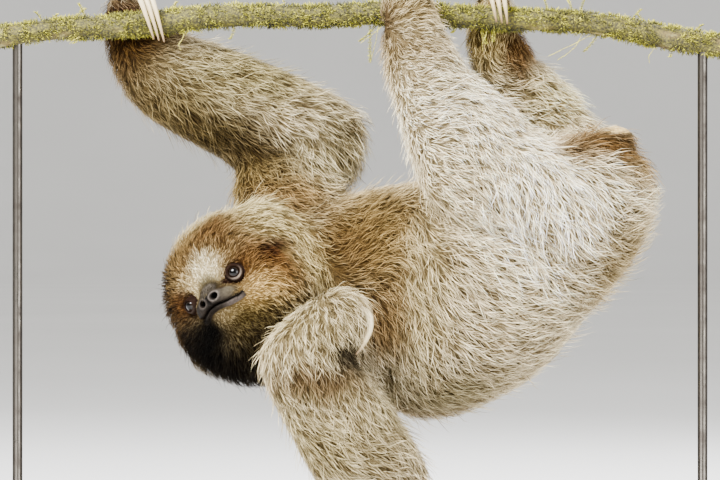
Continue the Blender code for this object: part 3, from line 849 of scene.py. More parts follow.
def flesh_colours(points):
    """The colour of the bare skin at each point, with painted shade and painted highlights."""
    head = to_head(points)
    x, y, z = head.T
    layers = list(mark_layers(head, FLESH_MARKS))
    for sign, highlight_strength in NOSTRIL_RIM_HIGHLIGHT.items():
        past = nostril_distance(head, sign) - NOSTRIL_RADIUS
        before = eased(-y, 44, 48)
        # painted highlight on each nostril's rim
        layers.append((ridge(past, 1.1, 0.9) * before * highlight_strength, rgb(116, 108, 102)))
        # painted shade inside each nostril
        layers.append(((1 - eased(past, -1.2, 0.2)) * before, rgb(12, 8, 8)))
    # a dark line along the mouth: painted shade in the crease between the lips
    line = ridge(z, mouth_line(x), 0.9) * (1 - eased(np.abs(x), 21, 23)) * 0.9
    layers.append((line, rgb(16, 12, 10)))
    layers.append((lid_share, rgb(38, 26, 20)))
    corner = (1 - eased(eye_corner_distance(head), 2.4, 4.6)) * eased(-y, 30, 34)
    layers.append((corner, rgb(34, 22, 17)))
    # painted highlight along the lower lids' rims
    layers.append((0.85 * lid_highlight_share, rgb(206, 186, 170)))
    tail = 1 - eased(distance(points, BARE_TAIL, (21, 22, 12)), 0.9, 1.2)
    layers.append((tail, TAIL_SKIN))
    colour = np.tile(np.array(FLESH[:3]), (len(points), 1))
    return FLESH_DEEPENING * laid_over(colour, layers)


def add_attribute(mesh, name, values):
    """Stores a colour at each point, so that the materials can read it by its name."""
    layer = mesh.color_attributes.new(name, "FLOAT_COLOR", "POINT")
    full = np.ones((len(values), 4), dtype=np.float32)
    full[:, : values.shape[1]] = values
    layer.data.foreach_set("color", full.ravel())


points = positions(skin_mesh)
bare = bareness(points)
add_attribute(skin_mesh, "marking_and_shade", markings_and_shade(points))
add_attribute(skin_mesh, "flesh", flesh_colours(points))
add_attribute(skin_mesh, "bare", np.repeat(bare[:, None], 3, axis=1))

# ---- the coat's shades, from the dark underfur to the pale tips, for skin and coat alike, with painted shade deep in the coat ---
shades = bpy.data.node_groups.new("coat shades", "ShaderNodeTree")
for name, kind in (("Marking", "Color"), ("Along", "Float"), ("Lot", "Float")):
    shades.interface.new_socket(name, in_out="INPUT", socket_type="NodeSocket" + kind)
shades.interface.new_socket("Color", in_out="OUTPUT", socket_type="NodeSocketColor")
given = shades.nodes.new("NodeGroupInput").outputs
taken = shades.nodes.new("NodeGroupOutput").inputs
# darker towards each hair's root: the underfur's own dark colour, deepened with painted shade deep in
# the coat
root_tone_and_shade = ramp(
    shades, given["Along"],
    (0.0, (0.06, 0.05, 0.035, 1)), (0.3, (0.30, 0.27, 0.20, 1)), (0.62, (0.9, 0.9, 0.86, 1)),
    (1.0, (1.22, 1.22, 1.18, 1)),
)
lot_tone = ramp(
    shades, given["Lot"],
    (0.0, (0.12, 0.09, 0.06, 1)), (0.25, (0.42, 0.37, 0.29, 1)), (0.55, (0.98, 0.97, 0.92, 1)),
    (1.0, (1.75, 1.75, 1.72, 1)),
)
tone = mixed(shades, 1.0, given["Marking"], root_tone_and_shade, "MULTIPLY")
tone = mixed(shades, 1.0, tone, lot_tone, "MULTIPLY")
tone.node.clamp_result = True
shades.links.new(tone, taken["Color"])


def shaded(tree, marking_and_shade, along, lot):
    made = put(tree, "Group", {"node_tree": shades}, Marking=marking_and_shade, Along=along, Lot=lot)
    return made.outputs["Color"]


hide, tree, shader = new_material("skin", Specular_IOR_Level=0.02)
place = own_place(tree)
bare_share = stored(tree, "bare", "Fac")
# the furred skin takes the coat's tone near the roots, which is partly painted shade under the coat
furred = shaded(tree, stored(tree, "marking_and_shade"), 0.16, cloudy(tree, place, 900, 2))
mottle = cloudy(tree, place, 420, 5, Roughness=0.65)
pores = put(tree, "TexVoronoi", Vector=place, Scale=1500).outputs["Distance"]
blotch = ramp(
    tree, mottle, (0.3, (0.6, 0.57, 0.53, 1)), (0.5, (0.96, 0.94, 0.9, 1)), (0.7, (1.4, 1.37, 1.3, 1))
)
flesh_tone = mixed(tree, 1.0, stored(tree, "flesh"), blotch, "MULTIPLY")
edge = ramp(tree, bare_share, (0.25, grey(0)), (0.7, grey(1)))
feed(mixed(tree, edge, furred, flesh_tone), shader)
feed(ramp(tree, bare_share, (0.3, grey(0.9)), (0.8, grey(0.5))), shader, "Roughness")
relief = put(tree, "Math", {"operation": "ADD"})
tree.links.new(pores, relief.inputs[0])
tree.links.new(mottle, relief.inputs[1])
bump(tree, shader, relief.outputs[0], 0.0004, 0.6)
new_object("skin", skin_mesh, hide, "face_skin", *flesh)

# ==== eyes =================================================================================
# Each eye is a glass eye: a dark brown iris with a round pupil behind a clear, bulging front.
# It is set in its socket in the skin, and the lids close over its rim.
EYE_PLAY = 0.35  # how far the glass lies inside its socket
BULGE_HEIGHT, BULGE_ANGLE = 0.45, 0.85  # of the clear front

eye_glass, tree, shader = new_material(
    "glass_eye", Roughness=0.12, Coat_Weight=0.15, Coat_Roughness=0.03, Specular_IOR_Level=0.12
)
split = put(tree, "SeparateColor", Color=stored(tree, "ring"))
flecks = ramp(tree, cloudy(tree, own_place(tree), 1800, 4), (0.3, grey(0.4)), (0.7, grey(1.3)))
rings = ramp(  # pupil, iris, its dark edge, and the brown glass outside it
    tree, split.outputs["Red"],
    (0.0, rgb(4, 3, 3)), (0.13, rgb(4, 3, 3)), (0.15, rgb(18, 13, 10)), (0.22, rgb(28, 21, 15)),
    (0.27, rgb(9, 6, 5)), (0.4, rgb(44, 29, 24)),
)
feed(mixed(tree, 0.5, rings, flecks, "MULTIPLY"), shader)
for side, centre in EYES.items():
    bm = bmesh.new()
    bmesh.ops.create_uvsphere(bm, u_segments=48, v_segments=40, radius=1)
    axis = Vector(HEAD_TURN @ eye_axis(side))
    turn = axis.to_track_quat("Z", "Y").to_matrix()
    where = Vector(from_head(centre))
    shares = []
    for vert in bm.verts:
        angle = vert.co.angle(Vector((0, 0, 1)))
        shares.append(angle / math.pi)
        bulge = BULGE_HEIGHT * max(0.0, 1 - (angle / BULGE_ANGLE) ** 2)
        vert.co = (where + turn @ (vert.co * (EYE_RADIUS - EYE_PLAY + bulge))) * MM
    mesh = finished(bm, "glass_eye_" + side)
    add_attribute(mesh, "ring", np.array(shares)[:, None])
    new_object("glass_eye_" + side, mesh, eye_glass, "eye", "eye_" + side)

# ==== claws ================================================================================
# Three long hooks of horn grow from each foot, cream to pale brown, with fine lengthwise
# grain, flatter below than above. Each is set in the toe that it grows from.
CLAW_ROOT_RADIUS, CLAW_TIP_RADIUS = 3.5, 0.7
CLAWS = {  # root, two points that bend the hook, tip, and the step from claw to claw
    "left_hand": ((-187, 22, 484), (-184, 2, 520), (-172, -28, 492), (-160, -15, 449), (6.2, 3.5, -1.5)),
    "left_foot": ((101, 22, 484), (102, 2, 516), (108, -26, 496), (113, -14, 463), (6.8, 1.5, -1)),
    "right_foot": ((37, -22, 484), (37, -8, 520), (38, 30, 500), (38, 16, 450), (9.5, 0, 0)),
    "right_hand": ((-14, -100, 231), (8, -102, 246), (16, -109, 223), (-3, -107, 202), (0, 7.5, 0)),
}
CLAW_CLOSING = (1, 1, 0.85, 0.65)  # how far apart they stay from root to tip
CLAW_RINGS, CLAW_SIDES = 34, 16
GROWTH_RING_SIZE, GROWTH_RINGS = 0.02, 41
CLAW_WIDTH, CLAW_BELLY, CLAW_BELLY_EDGE = 0.92, 0.72, 0.18  # it is flatter on its inner side

horn, tree, shader = new_material("claw_horn", Roughness=0.36, Coat_Weight=0.2, Coat_Roughness=0.2)
split = put(tree, "SeparateColor", Color=stored(tree, "grown"))
along_claw = stretched(tree, stored(tree, "grown", "Vector"), (5, 26, 1))
grain = cloudy(tree, along_claw, 1.6, 5)
tone = ramp(
    tree, split.outputs["Red"], (0.0, rgb(112, 88, 60)), (0.2, rgb(176, 160, 122)),
    (0.6, rgb(202, 192, 154)), (0.84, rgb(184, 166, 122)), (1.0, rgb(118, 92, 60)),
)
streaks = ramp(tree, grain, (0.32, rgb(168, 140, 106)), (0.55, grey(1.0)))
feed(mixed(tree, 0.6, tone, streaks, "MULTIPLY"), shader)
bump(tree, shader, grain, 0.0003, 0.4)


def claws_of(foot):
    """The names of a foot's three claws, each with the four points that shape it."""
    *middle, step = CLAWS[foot]
    for number in (1, 2, 3):
        shift = Vector(step) * (number - 2)
        bends = [Vector(p) + shift * share for p, share in zip(middle, CLAW_CLOSING)]
        yield "%s_claw_%d" % (foot, number), bends


def claw_mesh(name, bends):
    """A hook that thins towards its tip, rounder on its outer side."""
    line = interpolate_bezier(*bends, CLAW_RINGS)
    middle = (line[0] + line[-1]) / 2
    bm = bmesh.new()
    loops, grown = [], []
    for step, spot in enumerate(line):
        share = step / (CLAW_RINGS - 1)
        before, after = line[max(0, step - 1)], line[min(CLAW_RINGS - 1, step + 1)]
        along = (after - before).normalized()
        outer = (spot - middle) - along * (spot - middle).dot(along)
        outer.normalize()
        across = along.cross(outer)
        radius = CLAW_ROOT_RADIUS * (1 - share**3) + CLAW_TIP_RADIUS * share**3
        radius *= 1 + GROWTH_RING_SIZE * math.sin(share * GROWTH_RINGS)
        loop = []
        for side in range(CLAW_SIDES):
            turn = math.tau * side / CLAW_SIDES
            high, wide = math.sin(turn), math.cos(turn)
            if high < 0:
                high *= CLAW_BELLY + CLAW_BELLY_EDGE * wide * wide
            out = (outer * high + across * wide * CLAW_WIDTH) * radius
            loop.append(bm.verts.new((spot + out) * MM))
            grown.append((share, side / CLAW_SIDES, 0))
        loops.append(loop)
    for first, second in zip(loops, loops[1:]):
        for face in around(first, second):
            bm.faces.new(face)
    tip = bm.verts.new((line[-1] + (line[-1] - line[-2]).normalized() * CLAW_TIP_RADIUS) * MM)
    grown.append((1, 0.5, 0))
    for i in range(CLAW_SIDES):
        bm.faces.new((loops[-1][i], loops[-1][(i + 1) % CLAW_SIDES], tip))
    bm.faces.new(list(reversed(loops[0])))
    bmesh.ops.recalc_face_normals(bm, faces=bm.faces)
    mesh = finished(bm, name)
    add_attribute(mesh, "grown", np.array(grown, dtype=float))
    return mesh


for foot in CLAWS:
    for node, bends in claws_of(foot):
        new_object("horn_" + node, claw_mesh(node, bends), horn, "claw", node)

# ==== coat =================================================================================
# The coat is coarse, dry hair: short dark underfur, and over it long pale locks that lie along
# the body and part on the chest. Each lock is a thin three-sided blade rooted in the skin.
LOCK_FORMS = {  # shares of a lock's length that carry three points each, and its width at each
    "long": ((0.0, 0.36, 0.72), (0.8, 1.0, 0.72)),
    "short": ((0.0, 0.5), (0.95, 0.8)),
}
LOCKS_IN_ALL, UNDERFUR_SHARE, SHORT_SHARE, DARK_SHARE = 141000, 0.28, 0.78, 0.16
GUIDE_SPACING, GUIDE_STEPS, GUIDE_WANDER = 3.8, 7, 0.3
COMB_SOFTNESS = 9.0
ROOT_SINK = 0.4
LOCK_SWING = 0.24  # how far a lock bends to one side, as a share of its length
rng = np.random.default_rng(7)

COMB = np.array((  # a place on the body, and the way that the hair runs there
    # throat and chest: it fans up and out of the throat, and falls at the parting
    (-12, -30, 272, 0.75, 0, 0.65), (1, -60, 287, 0.8, 0, 0.5), (20, -55, 318, 0.85, 0, 0.5),
    (6, -70, 268, 1, 0, 0.2), (26, -75, 282, 1, 0, -0.05), (24, -80, 242, 0.8, 0, -0.6),
    (8, -75, 218, 0.5, 0, -0.85), (32, -80, 206, 0.4, 0, -1), (42, -78, 306, 0.05, 0, -1),
    (44, -85, 266, 0, 0, -1), (43, -85, 218, 0, 0, -1), (40, -80, 170, 0.25, 0, -1),
    # belly: it runs off the parting and sweeps round below
    (64, -75, 322, 1, 0, -0.3), (72, -80, 294, 1, 0, -0.35), (96, -85, 278, 1, 0, -0.5),
    (64, -88, 250, 0.75, 0, -0.7), (84, -88, 242, 1, 0, -0.7), (112, -85, 250, 1, 0, -0.4),
    (72, -85, 202, 0.8, 0, -0.75), (104, -80, 210, 1, 0, -0.35), (136, -70, 222, 1, 0, 0.15),
    (64, -70, 162, 0.8, 0, -0.5), (96, -65, 170, 1, 0, -0.05), (136, -55, 190, 1, 0, -0.2),
    (160, -70, 242, 0.8, 0, -0.4),
    # thigh and rump
    (120, -80, 322, 0.4, 0, -1), (144, -80, 338, 0.35, 0, -1), (148, -80, 290, 0.5, 0, -1),
    (176, -75, 322, 0.5, 0, -0.9), (192, -60, 354, 0.9, 0, -0.5), (160, -60, 388, 1, 0, -0.25),
    (208, -40, 370, 1, 0, -0.25), (216, -50, 322, 1, 0, 0.1), (224, -40, 290, 1, 0, 0.15),
    (200, -60, 266, 0.8, 0, -0.5), (184, -55, 234, 0.8, 0, -0.45), (92, -90, 374, 0.35, 0, -1),
    # near shin and foot: it springs from a crown on the foot
    (22, -50, 474, 0.3, 0, 1), (30, -50, 470, 0.7, 0, 0.7), (30, -52, 460, 1, 0, 0),
    (28, -52, 450, 0.8, 0, -0.6), (44, -55, 458, 1, 0, -0.2), (20, -52, 447, 0.2, 0, -1),
    (14, -50, 436, 0.1, 0, -1), (40, -60, 438, 0.9, 0, -0.4), (56, -65, 424, 1, 0, 0),
    (76, -60, 422, 0.9, 0, -0.5), (32, -65, 414, 0.7, 0, -0.5), (22, -60, 402, 0.2, 0, -1),
    (64, -80, 402, 1, 0, 0), (44, -80, 382, 1, 0, -0.3), (40, -80, 354, 0.8, 0, -0.5),
    (68, -85, 370, 1, 0, -0.2), (56, -80, 340, 1, 0, -0.3),
    # far leg
    (100, 10, 450, 0.1, 0, -1), (124, 15, 452, -0.3, 0, -0.9), (136, 20, 432, 0.8, 0, -0.5),
    (160, 20, 412, 0.9, 0, -0.5), (120, 15, 420, 1, 0, -0.2), (182, 50, 370, 0.7, 0, -0.7),
    # upper arm and hand on the branch
    (-192, 15, 440, 0.1, 0, -1), (-170, 5, 440, 0.9, 0, -0.25), (-128, 5, 434, 1, 0, -0.15),
    (-96, 5, 418, 1, 0, -0.3), (-64, 10, 402, 1, 0, -0.35), (-168, 5, 404, 0.5, 0, -0.9),
    (-136, 5, 382, 0.6, 0, -0.9), (-48, 30, 420, 1, 0, -0.5), (-12, 45, 394, 1, 0, 0),
    (-10, 40, 352, 0.7, 0, -0.7), (-36, 20, 352, 0.1, 0, -1), (-96, 10, 346, 0.6, 0, -0.9),
    (-72, 5, 328, 0.9, 0, -0.5), (-48, 10, 330, 0.5, 0, -0.8),
    # arm hanging in front
    (-16, -120, 242, 0.4, 0, -1), (-36, -125, 234, 0.2, 0, -1), (-60, -120, 226, -0.25, 0, -1),
    (-72, -115, 202, 0, 0, -1), (-48, -125, 206, 0.3, 0, -1), (-68, -105, 162, 0.6, 0, -0.9),
    (-24, -120, 174, 0.2, 0, -1), (0, -110, 154, 0.3, 0, -1), (-32, -115, 138, 1, 0, -0.35),
    (16, -95, 130, 1, 0, -0.3), (32, -80, 106, 0.8, 0, -0.5), (17, -56, 56, 1, 0, -0.2),
    (-14, 10, 156, 0.3, 0.1, -1),
    # head: round the crown and the nape, and down behind the cheek
    (-128, -50, 300, 0.6, 0, 0.75), (-146, -45, 280, -0.5, 0, 0.85), (-104, -50, 308, 1, 0, 0.1),
    (-84, -50, 302, 1, 0, -0.15), (-62, -45, 294, 0.85, 0, -0.5), (-46, -40, 282, 0.5, 0, -0.85),
    (-36, -40, 266, 0.15, 0, -1), (-32, -45, 250, -0.1, 0, -1), (-60, -60, 262, 0.75, 0, -0.65),
    (-64, -60, 242, 0.9, 0, -0.4), (-110, -60, 294, 0.8, 0, 0.5), (-92, -62, 284, 0.9, 0, 0.1),
    (-76, -60, 276, 0.85, 0, -0.45), (-84, -50, 205, 0.3, 0, -1), (-120, -45, 200, -0.1, 0, -1),
    (-140, -40, 222, -0.5, 0, -0.85), (-160, -35, 250, -0.6, 0.6, 0),
    (-155, -40, 264, -0.7, 0.4, 0.4), (-155, -35, 236, -0.6, 0.5, -0.5),
    # the curled hand's fingers
    (-14, -118, 250, 0.9, 0, -0.4), (-2, -112, 240, 0.5, 0, -0.9), (0, -110, 228, 0, 0, -1),
    # nape, and the side turned away
    (-70, 0, 312, 1, 0, 0.05), (-44, -10, 304, 1, 0, -0.35), (-34, -15, 292, 0.8, 0, -0.7),
    (-60, 40, 280, 0.6, 0.3, -0.7), (20, 80, 254, 0.4, 0.1, -0.9), (90, 85, 250, 0.6, 0, -0.8),
    (150, 70, 290, 0.7, 0, -0.7), (200, 50, 330, 0.8, 0, -0.6), (60, 20, 150, 0.7, 0.7, 0.1),
    (120, 20, 175, 0.8, 0.5, 0.2), (-150, 60, 420, 1, 0, -0.4), (-80, 75, 390, 1, 0, -0.4),
), dtype=float)
# how the hair lies on each part: length, width, share of hairs that stand out, and density
COAT_KINDS = {
    "head": (17, 0.42, 0.03, 1.25), "muzzle": (3, 0.22, 0, 1), "jaw": (4, 0.22, 0, 1),
    "nose": (2, 0.21, 0, 1), "ear": (16, 0.42, 0.05, 1.4), "neck": (25, 0.5, 0.05, 1.1),
    "chest": (25, 0.49, 0.03, 1.1), "belly": (28, 0.54, 0.04, 0.95),
    "rump": (28, 0.52, 0.12, 0.95), "tail": (14, 0.42, 0.1, 1.3),
    "left_upper_arm": (28, 0.5, 0.14, 1.05), "left_forearm": (24, 0.47, 0.08, 1.1),
    "right_upper_arm": (27, 0.54, 0.08, 0.95), "right_forearm": (24, 0.5, 0.06, 1.1),
    "hand": (15, 0.4, 0.06, 1.4), "left_thigh": (25, 0.5, 0.08, 0.95),
    "right_thigh": (27, 0.5, 0.06, 1), "shin": (21, 0.47, 0.07, 1.15),
    "foot": (14, 0.4, 0.06, 1.45),
}
COAT_PIECES = {
    "coat_head": ("head", "ear_left", "ear_right"),
    "coat_face": ("muzzle", "jaw", "nose"),
    "coat_chest": ("neck", "chest"),
    "coat_belly": ("belly",),
    "coat_rump": ("rump", "tail"),
    "coat_raised_arm": ("left_upper_arm",),
    "coat_raised_forearm": ("left_forearm", "left_hand"),
    "coat_lowered_arm": ("right_upper_arm",),
    "coat_lowered_forearm": ("right_forearm", "right_hand"),
    "coat_far_leg": ("left_thigh", "left_shin", "left_foot"),
    "coat_near_leg": ("right_thigh", "right_shin", "right_foot"),
}

skin_faces = skin_mesh.loop_triangles
corners = read_all(skin_faces, "vertices", 3, np.int32)
polygon_of = read_all(skin_faces, "polygon_index", 1, np.int32)
loops_of = read_all(skin_faces, "loops", 3, np.int32)
skin_points = positions(skin_mesh)
skin_normals = normals(skin_mesh)
skin_owner = flesh_names(skin_points)
skin_links = edges(skin_mesh)
head_places = to_head(skin_points)
face_owner = skin_owner[corners[:, 0]]
edge_a = skin_points[corners[:, 1]] - skin_points[corners[:, 0]]
edge_b = skin_points[corners[:, 2]] - skin_points[corners[:, 0]]
areas = np.linalg.norm(np.cross(edge_a, edge_b), axis=1) / 2
skin_tree = BVHTree.FromPolygons([Vector(p) for p in skin_points], corners.tolist())


def near_fingers(within):
    """1 within some millimetres of the curled hand's fingers, and 0 from 30 mm on."""
    return eased(-distance(skin_points, RIGHT_FINGERS), -30, -within)


def along_skin(vectors, normals_there):
    """Vectors laid along the skin, each of length one."""
    return unit(vectors - (vectors * normals_there).sum(axis=1)[:, None] * normals_there)


def combed(points, normals_there):
    """The way the hair runs at each point, along the skin."""
    total = np.zeros_like(points)
    for place, run in zip(COMB[:, :3], unit(COMB[:, 3:])):
        away = (points - place) * (1, 0.45, 1)
        weight = 1 / ((away * away).sum(axis=1) + COMB_SOFTNESS**2) ** 2
        total += weight[:, None] * run
    head = to_head(points)
    fan = head - (0, -58, 0)
    fan[:, 1] = fan[:, 1] * 0.6 + 8
    fan = unit(fan) @ HEAD_TURN.T
    on_head = eased(-distance(head, *HEAD_FORM), -1.1, -0.95)
    on_head = (on_head * (1 - eased(from_nose(points), 40, 60)))[:, None]
    return along_skin(unit(total, 1e-9) * (1 - on_head) + fan * on_head, normals_there)


lengths, widths, strays, densities = np.array(by_part(COAT_KINDS), dtype=float)[skin_owner].T
# on the head the hair is short and fine at the nose, and close, and longer towards the nape
face = from_nose(skin_points)
on_head = owned(skin_owner, COAT_PIECES["coat_head"] + COAT_PIECES["coat_face"])
grown = 3.8 + 9.3 * eased(face, 18, 60) + 13 * eased(head_places[:, 1], -5, 35)
lengths = np.where(on_head, grown, lengths)
widths = np.where(on_head, 0.3 + 0.15 * eased(face, 18, 70), widths)
densities = np.where(on_head, 3.4 - 2.35 * eased(face, 22, 70), densities)
# the curled hand's longer hair hides the roots of its claws
lengths += 8 * near_fingers(14)
lengths, widths = relaxed(lengths, skin_links, 10), relaxed(widths, skin_links, 10)
strays, densities = relaxed(strays, skin_links, 4), relaxed(densities, skin_links, 4)
# the coat fills the room between the skin and the solids' own surface
room = np.array([solids.find_nearest(Vector(point) * MM)[3] for point in skin_points]) / MM
room = np.where(face < 36, head_depth(skin_points), np.clip(room, 1.5, 11))
coat_depth = relaxed(room, skin_links, 5)
coat_depth += 6 * near_fingers(16)
# at some edges the longest hairs stand apart, and the rest lie low
LOOSE_STRAYS, LOOSE_SINKING = 0.3, 0.38
LOOSE = (
    ((228, -20, 325), (22, 70, 50)), ((178, 55, 412), (24, 50, 24)), ((4, 45, 368), (18, 50, 42)),
    ((-106, -30, 319), (28, 40, 10)), ((22, -50, 395), (10, 40, 60)),
)
loose = np.zeros(len(skin_points))
for centre, reach in LOOSE:
    loose = np.maximum(loose, patch_weights(skin_points, centre, reach))
strays += LOOSE_STRAYS * loose
coat_depth *= 1 - LOOSE_SINKING * loose
runs = relaxed(combed(skin_points, skin_normals), skin_links, 3)
runs = along_skin(runs, skin_normals)
# short hair comes down over the bridge and the sides of the muzzle, and thins out there
stubble = eased(head_places[:, 2] - 0.35 * np.abs(head_places[:, 0]), -3, 5)
stubble *= eased(-head_places[:, 1], 30, 40)
for centre in EYES.values():
    stubble *= 1 - np.exp(-((distance(head_places, centre) / 10) ** 4))
growing = np.maximum(1 - bareness(skin_points), 0.7 * stubble)


def scattered(chances, count):
    """Random places on the skin, by area and chance. Returns faces and corner shares."""
    chosen = rng.choice(len(chances), size=count, p=chances / chances.sum())
    first, second = rng.random(count), rng.random(count)
    over = first + second > 1
    first[over], second[over] = 1 - first[over], 1 - second[over]
    return chosen, np.stack([1 - first - second, first, second], axis=1)


def on_skin(values, chosen, shares):
    """Values that belong to the skin's points, read at scattered places."""
    there = values[corners[chosen]]
    if values.ndim == 1:
        return (there * shares).sum(axis=1)
    return (there * shares[:, :, None]).sum(axis=1)


# the guides: each is a path that follows the lie of the coat over the skin, a little astray
guide_count = int(areas.sum() / GUIDE_SPACING**2)
chosen, shares = scattered(areas * (0.3 + densities[corners].mean(axis=1)), guide_count)
guide_roots = on_skin(skin_points, chosen, shares)
guide_lengths = on_skin(lengths, chosen, shares)
guide_turns = rng.normal(0, GUIDE_WANDER, guide_count)
guide_tones = rng.random(guide_count)
paths = np.empty((guide_count, GUIDE_STEPS + 1, 3))
lifts = np.empty((guide_count, GUIDE_STEPS + 1, 3))
face_runs = runs[corners].mean(axis=1)
face_lifts = skin_normals[corners[:, 0]]
for index in range(guide_count):
    spot, face = Vector(guide_roots[index]), int(chosen[index])
    step = guide_lengths[index] / GUIDE_STEPS
    way = None
    for stage in range(GUIDE_STEPS + 1):
        lift = Vector(face_lifts[face])
        paths[index, stage] = spot
        lifts[index, stage] = lift
        fresh = Vector(face_runs[face])
        fresh += lift.cross(fresh) * guide_turns[index]
        way = (way + fresh).normalized() if way else fresh.normalized()
        found = skin_tree.find_nearest(spot + way * step)
        spot, face = found[0], found[2]
guide_tree = KDTree(guide_count)
for index, root in enumerate(guide_roots):
    guide_tree.insert(root, index)
guide_tree.balance()

# the locks: each starts at its own root and follows the nearest guide
density = densities[corners].mean(axis=1) * growing[corners].mean(axis=1) ** 1.4
chosen, shares = scattered(areas * density, LOCKS_IN_ALL)
roots = on_skin(skin_points, chosen, shares)
up = unit(on_skin(skin_normals, chosen, shares))
nearest = np.array([guide_tree.find(root)[1] for root in roots])
count = len(roots)
(
    length_draw, stray_draw, under_draw, reach_draw, width_draw,
    tone_draw, clump_draw, rise_draw, short_draw, dark_draw,
) = rng.random((count, 10)).T
root_shift = roots - guide_roots[nearest]
stray = stray_draw < on_skin(strays, chosen, shares)
under = (under_draw < UNDERFUR_SHARE) & ~stray
short = under | ((short_draw < SHORT_SHARE) & ~stray)
length_share = (0.5 + 0.5 * length_draw) * np.where(under, 0.65, np.where(short, 0.85, 1.0))
reach = np.where(under, 0.2 + 0.3 * reach_draw, 0.55 + 0.55 * reach_draw)
reach = on_skin(coat_depth, chosen, shares) * reach
width = on_skin(widths, chosen, shares) * (0.68 + 0.48 * width_draw) * np.where(under, 1.2, 1.0)
tone = 0.12 * guide_tones[nearest] + 0.88 * tone_draw
lot = np.where(under | (dark_draw < DARK_SHARE), 0.3 * tone_draw, 0.2 + 0.8 * tone)
clump = 0.05 + 0.3 * clump_draw
swing = rng.normal(0, LOCK_SWING, count)
wave_phase = rng.random(count) * math.tau
wave_size = 0.5 + 1.1 * rng.random(count)
stray_rise = np.where(stray, 0.3 + 0.8 * rise_draw, 0.0)
own_length = on_skin(lengths, chosen, shares) * length_share
guide_path_length = guide_lengths[nearest]
lock_marks = markings_and_shade(roots)


def along_guide(table, share, mine):
    """Where the guides of some locks have come to at a share of each lock's own length."""
    at = np.clip(share * own_length[mine] / guide_path_length[mine], 0, 1) * GUIDE_STEPS
    low_stage = np.minimum(at.astype(int), GUIDE_STEPS - 1)
    part = (at - low_stage)[:, None]
    guide = nearest[mine]
    return table[guide, low_stage] * (1 - part) + table[guide, low_stage + 1] * part


def lock_line(share, mine):
    """The middle of some locks at a share of their length, the way up there, and the way across."""
    lift = unit(along_guide(lifts, share, mine))
    before, after = max(0.0, share - 0.12), min(1.0, share + 0.12)
    ahead = unit(along_guide(paths, after, mine) - along_guide(paths, before, mine))
    side = np.cross(ahead, lift)
    pull = 1 - clump[mine] * share**1.4
    wave = wave_size[mine] * np.sin(share * 5 + wave_phase[mine]) * share * own_length[mine] / 28
    bend = swing[mine] * share**1.3 * own_length[mine] + wave
    rise = reach[mine] * np.sin(np.minimum(share * 1.9, 1.25)) / math.sin(1.25)
    rise = rise + stray_rise[mine] * own_length[mine] * 0.55 * share**1.6
    centre = along_guide(paths, share, mine) + root_shift[mine] * pull[:, None]
    return centre + side * bend[:, None] + lift * rise[:, None], lift, side


LOCK_CORNERS = (-1.0, -0.25), (1.0, -0.25), (0.0, 0.75)  # two edges, and the ridge between them


def lock_points(form, mine):
    """The points of some locks: three round the lock at each share of its length, and the tip."""
    shares_along, ring_widths = LOCK_FORMS[form]
    lines = [lock_line(share, mine) for share in (*shares_along, 1.0)]
    lines[0] = (roots[mine] - up[mine] * ROOT_SINK, up[mine], lines[0][2])
    made = np.empty((len(mine), 3 * len(shares_along) + 1, 3))
    for ring, ring_width in enumerate(ring_widths):
        centre, lift, side = lines[ring]
        flat = unit(np.cross(side, lines[ring + 1][0] - centre))
        flat *= np.sign((flat * lift).sum(axis=1) + 1e-9)[:, None]
        half = (width[mine] * ring_width / 2)[:, None]
        for corner, (out, over) in enumerate(LOCK_CORNERS):
            made[:, 3 * ring + corner] = centre + side * half * out + flat * half * over
    made[:, -1] = lines[-1][0]
    return made


def lock_faces(rings):
    """The triangles of one lock: its sides from ring to ring, and its tip."""
    faces = []
    for ring in range(rings - 1):
        for corner in range(3):
            a, b = 3 * ring + corner, 3 * ring + (corner + 1) % 3
            faces += [(a, b, b + 3), (a, b + 3, a + 3)]
    last = 3 * (rings - 1)
    faces += [(last + corner, last + (corner + 1) % 3, last + 3) for corner in range(3)]
    return np.array(faces)


coat_hair, tree, shader = new_material("coat_hair", Roughness=0.7, Specular_IOR_Level=0.04)
split = put(tree, "SeparateColor", Color=stored(tree, "strand"))
along, own_lot = split.outputs["Red"], split.outputs["Green"]
dust = cloudy(tree, own_place(tree), 180, 3)
patchy = ramp(tree, dust, (0.3, (0.86, 0.83, 0.76, 1)), (0.7, (1.06, 1.06, 1.06, 1)))
tone = shaded(tree, stored(tree, "marking_and_shade"), along, own_lot)
feed(mixed(tree, 0.8, tone, patchy, "MULTIPLY"), shader)
feed(ramp(tree, own_lot, (0.0, grey(0.75)), (1.0, grey(0.5))), shader, "Roughness")

LOCK_PATCH = 0.003  # the side of a lock's patch on the unwrapped skin
BAKE_MARGIN = 0.01


